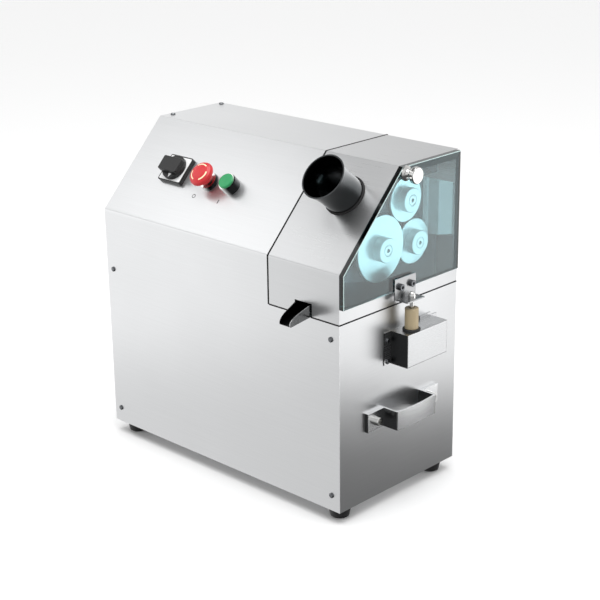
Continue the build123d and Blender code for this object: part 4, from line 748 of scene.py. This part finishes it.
def arrow_shape(shape):
    """Three printed arcs on the stop button, round the way it releases."""
    for start in ARROW_STARTS:
        rows = []
        for i in range(ARROW_STEPS + 1):
            angle = math.radians(start + ARROW_SWEEP * i / ARROW_STEPS)
            row = []
            for radius in (ARROW_INNER_R, ARROW_OUTER_R):
                for height in (0, ARROW_T):
                    spot = Vector((radius * math.cos(angle) * MM, radius * math.sin(angle) * MM, 0))
                    row.append(shape.verts.new(on_slope(STOP, crown_height(radius) + height) @ spot))
            rows.append(row)
        for a, b in zip(rows, rows[1:]):
            for i, j in ((0, 1), (1, 3), (3, 2), (2, 0)):
                shape.faces.new((a[i], a[j], b[j], b[i]))
        for row in (rows[0], rows[-1]):
            shape.faces.new((row[0], row[1], row[3], row[2]))


def below(button, left_mm, down_mm):
    """The sheet's face to the left of a button and down the slope from it."""
    return on_slope(button - SLOPE_ACROSS * left_mm * MM - SLOPE_UP * down_mm * MM, 0)


def stop_mark(shape):
    """A ring for stop."""
    ring_slab(shape, circle(RING_INNER_R), circle(RING_OUTER_R), MARK_T, below(STOP, 16, 28))


def start_mark(shape):
    """A bar for start."""
    w, h = BAR_HALF_W, BAR_HALF_L
    slab(shape, [(-w, -h), (w, -h), (w, h), (-w, h)], MARK_T, below(START, 10.5, 28.5))


piece("stop_arrows", arrow_shape, "stop_head", "arrow_ink")
piece("stop_mark", stop_mark, "housing", "ink")
piece("start_mark", start_mark, "housing", "ink")


# ---- Floor, light and camera ----
FLOOR_HALF = 12.0


def floor():
    """White paper that runs past the picture. It stays out of the metal's reflections."""
    mesh = bpy.data.meshes.new("floor")
    corners = [(x * FLOOR_HALF, y * FLOOR_HALF, 0) for x, y in ((-1, -1), (1, -1), (1, 1), (-1, 1))]
    mesh.from_pydata(corners, [], [(0, 1, 2, 3)])
    thing = bpy.data.objects.new("floor", mesh)
    bpy.context.collection.objects.link(thing)
    material, tree = new_finish("white_paper")
    fibre = pattern(tree, (4, 4, 4))
    paper = add(
        tree,
        "ShaderNodeBsdfPrincipled",
        {"Base Color": blend(tree, fibre, linear("F4F4F4"), linear("F7F7F7")), "Roughness": 0.9},
    )
    show(tree, paper.outputs[0])
    mesh.materials.append(material)
    thing.visible_glossy = False


floor()


def softbox(name, place, aim, width, height, power):
    """A rectangular softbox that faces a point, in metres and watts."""
    lamp = bpy.data.lights.new(name, "AREA")
    lamp.shape = "RECTANGLE"
    lamp.size, lamp.size_y = width, height
    lamp.energy = power
    thing = bpy.data.objects.new(name, lamp)
    bpy.context.collection.objects.link(thing)
    thing.location = place
    thing.rotation_euler = (Vector(aim) - Vector(place)).to_track_quat("-Z", "Y").to_euler()


SOFTBOXES = {  # name: place, point aimed at, width, height and watts
    "left_low": ((-1.0, -0.95, 0.2), (-0.15, -0.1, 0.3), 0.8, 1.0, 1.2),
    "left_high": ((-0.95, -0.65, 1.35), (-0.2, 0, 0.4), 0.6, 0.5, 1.2),
    "right_back": ((1.0, 0.7, 0.2), (0.23, 0, 0.35), 0.7, 0.9, 3.0),
    "overhead": ((0.2, -0.2, 2.2), (0, 0, 0), 1.8, 1.8, 26.0),
}
for name, settings in SOFTBOXES.items():
    softbox(name, *settings)

SKY_POWER, SKY_SPREAD_DEG = 1.2, 70
sun = bpy.data.lights.new("sky_panel", "SUN")
sun.energy, sun.angle = SKY_POWER, math.radians(SKY_SPREAD_DEG)
sun_thing = bpy.data.objects.new("sky_panel", sun)
bpy.context.collection.objects.link(sun_thing)

world = bpy.data.worlds.new("studio")
bpy.context.scene.world = world
world.use_nodes = True
sky = world.node_tree
sky.nodes.clear()
ray = add(sky, "ShaderNodeTexCoord").outputs["Generated"]
up = add(sky, "ShaderNodeSeparateXYZ", {0: ray}).outputs["Z"]
side = add(sky, "ShaderNodeSeparateXYZ", {0: ray}).outputs["X"]


def wall(stops):
    """The studio's brightness by height, from straight down to straight up."""
    node = add(sky, "ShaderNodeValToRGB", {"Fac": between(sky, up, 0.0, 1.0, -1.0, 1.0)})
    ramp = node.color_ramp
    ramp.elements[0].position, ramp.elements[1].position = 0.0, 1.0
    ramp.elements[0].color, ramp.elements[1].color = linear(stops[0][1]), linear(stops[-1][1])
    for height, code in stops[1:-1]:
        stop = ramp.elements.new((height + 1) / 2)
        stop.color = linear(code)
    return node.outputs[0]


# Height of the direction looked in, from -1 to 1, and the grey seen there.
LEFT_WALL = (
    (-1, "A7A7A7"),
    (-0.5, "F0F0F0"),
    (-0.42, "F0F0F0"),
    (-0.33, "DADADA"),
    (-0.2, "E6E6E6"),
    (0.1, "F0F0F0"),
    (0.33, "FAFAFA"),
    (0.5, "DEDEDE"),
    (0.62, "C4C4C4"),
    (0.7, "8C8C8C"),
    (0.8, "707070"),
    (1, "8E8E8E"),
)
RIGHT_WALL = (
    (-1, "404040"),
    (-0.46, "505050"),
    (-0.38, "787878"),
    (-0.28, "9A9A9A"),
    (-0.1, "B6B6B6"),
    (0.3, "D0D0D0"),
    (0.6, "B8B8B8"),
    (1, "B8B8B8"),
)
WALL_STRENGTH = 1.4
DARK_END_TONE, DARK_END_SHARE = "202020", 0.36  # the left wall fades where it runs out of lamps
across = between(sky, side, 0.0, 1.0, -0.25, 0.25)
dark_end = between(sky, side, 0.0, DARK_END_SHARE, -0.72, -0.58)
left_wall = blend(sky, dark_end, wall(LEFT_WALL), linear(DARK_END_TONE))
walls = blend(sky, across, left_wall, wall(RIGHT_WALL))
light = add(sky, "ShaderNodeBackground", {"Color": walls, "Strength": WALL_STRENGTH})
add(sky, "ShaderNodeOutputWorld", {"Surface": light.outputs[0]})

# The camera looks at a point inside the housing, given from the hood's end, the front and the table.
TARGET_FROM_END, TARGET_FROM_FRONT, TARGET_UP = 191.0, 121.2, 269.1
TARGET = Vector((HOOD_HIGH.x - TARGET_FROM_END, FRONT_MM + TARGET_FROM_FRONT, TARGET_UP)) * MM
AZIMUTH, ELEVATION, ROLL = (math.radians(a) for a in (43.951, 19.47, -0.746))
DISTANCE = 2.2443
LENS_MM, SENSOR_MM = 88.482, 36.0
lens = bpy.data.cameras.new("camera")
lens.sensor_width = SENSOR_MM
lens.lens = LENS_MM
lens.clip_end = 60.0
camera = bpy.data.objects.new("camera", lens)
bpy.context.collection.objects.link(camera)
outward = Vector(
    (
        math.cos(ELEVATION) * math.sin(AZIMUTH),
        -math.cos(ELEVATION) * math.cos(AZIMUTH),
        math.sin(ELEVATION),
    )
)
camera.location = TARGET + outward * DISTANCE
level = (-outward).to_track_quat("-Z", "Y").to_matrix()
camera.rotation_euler = (level @ Matrix.Rotation(ROLL, 3, "Z")).to_euler()
bpy.context.scene.camera = camera
bpy.context.scene.view_settings.view_transform = "Standard"
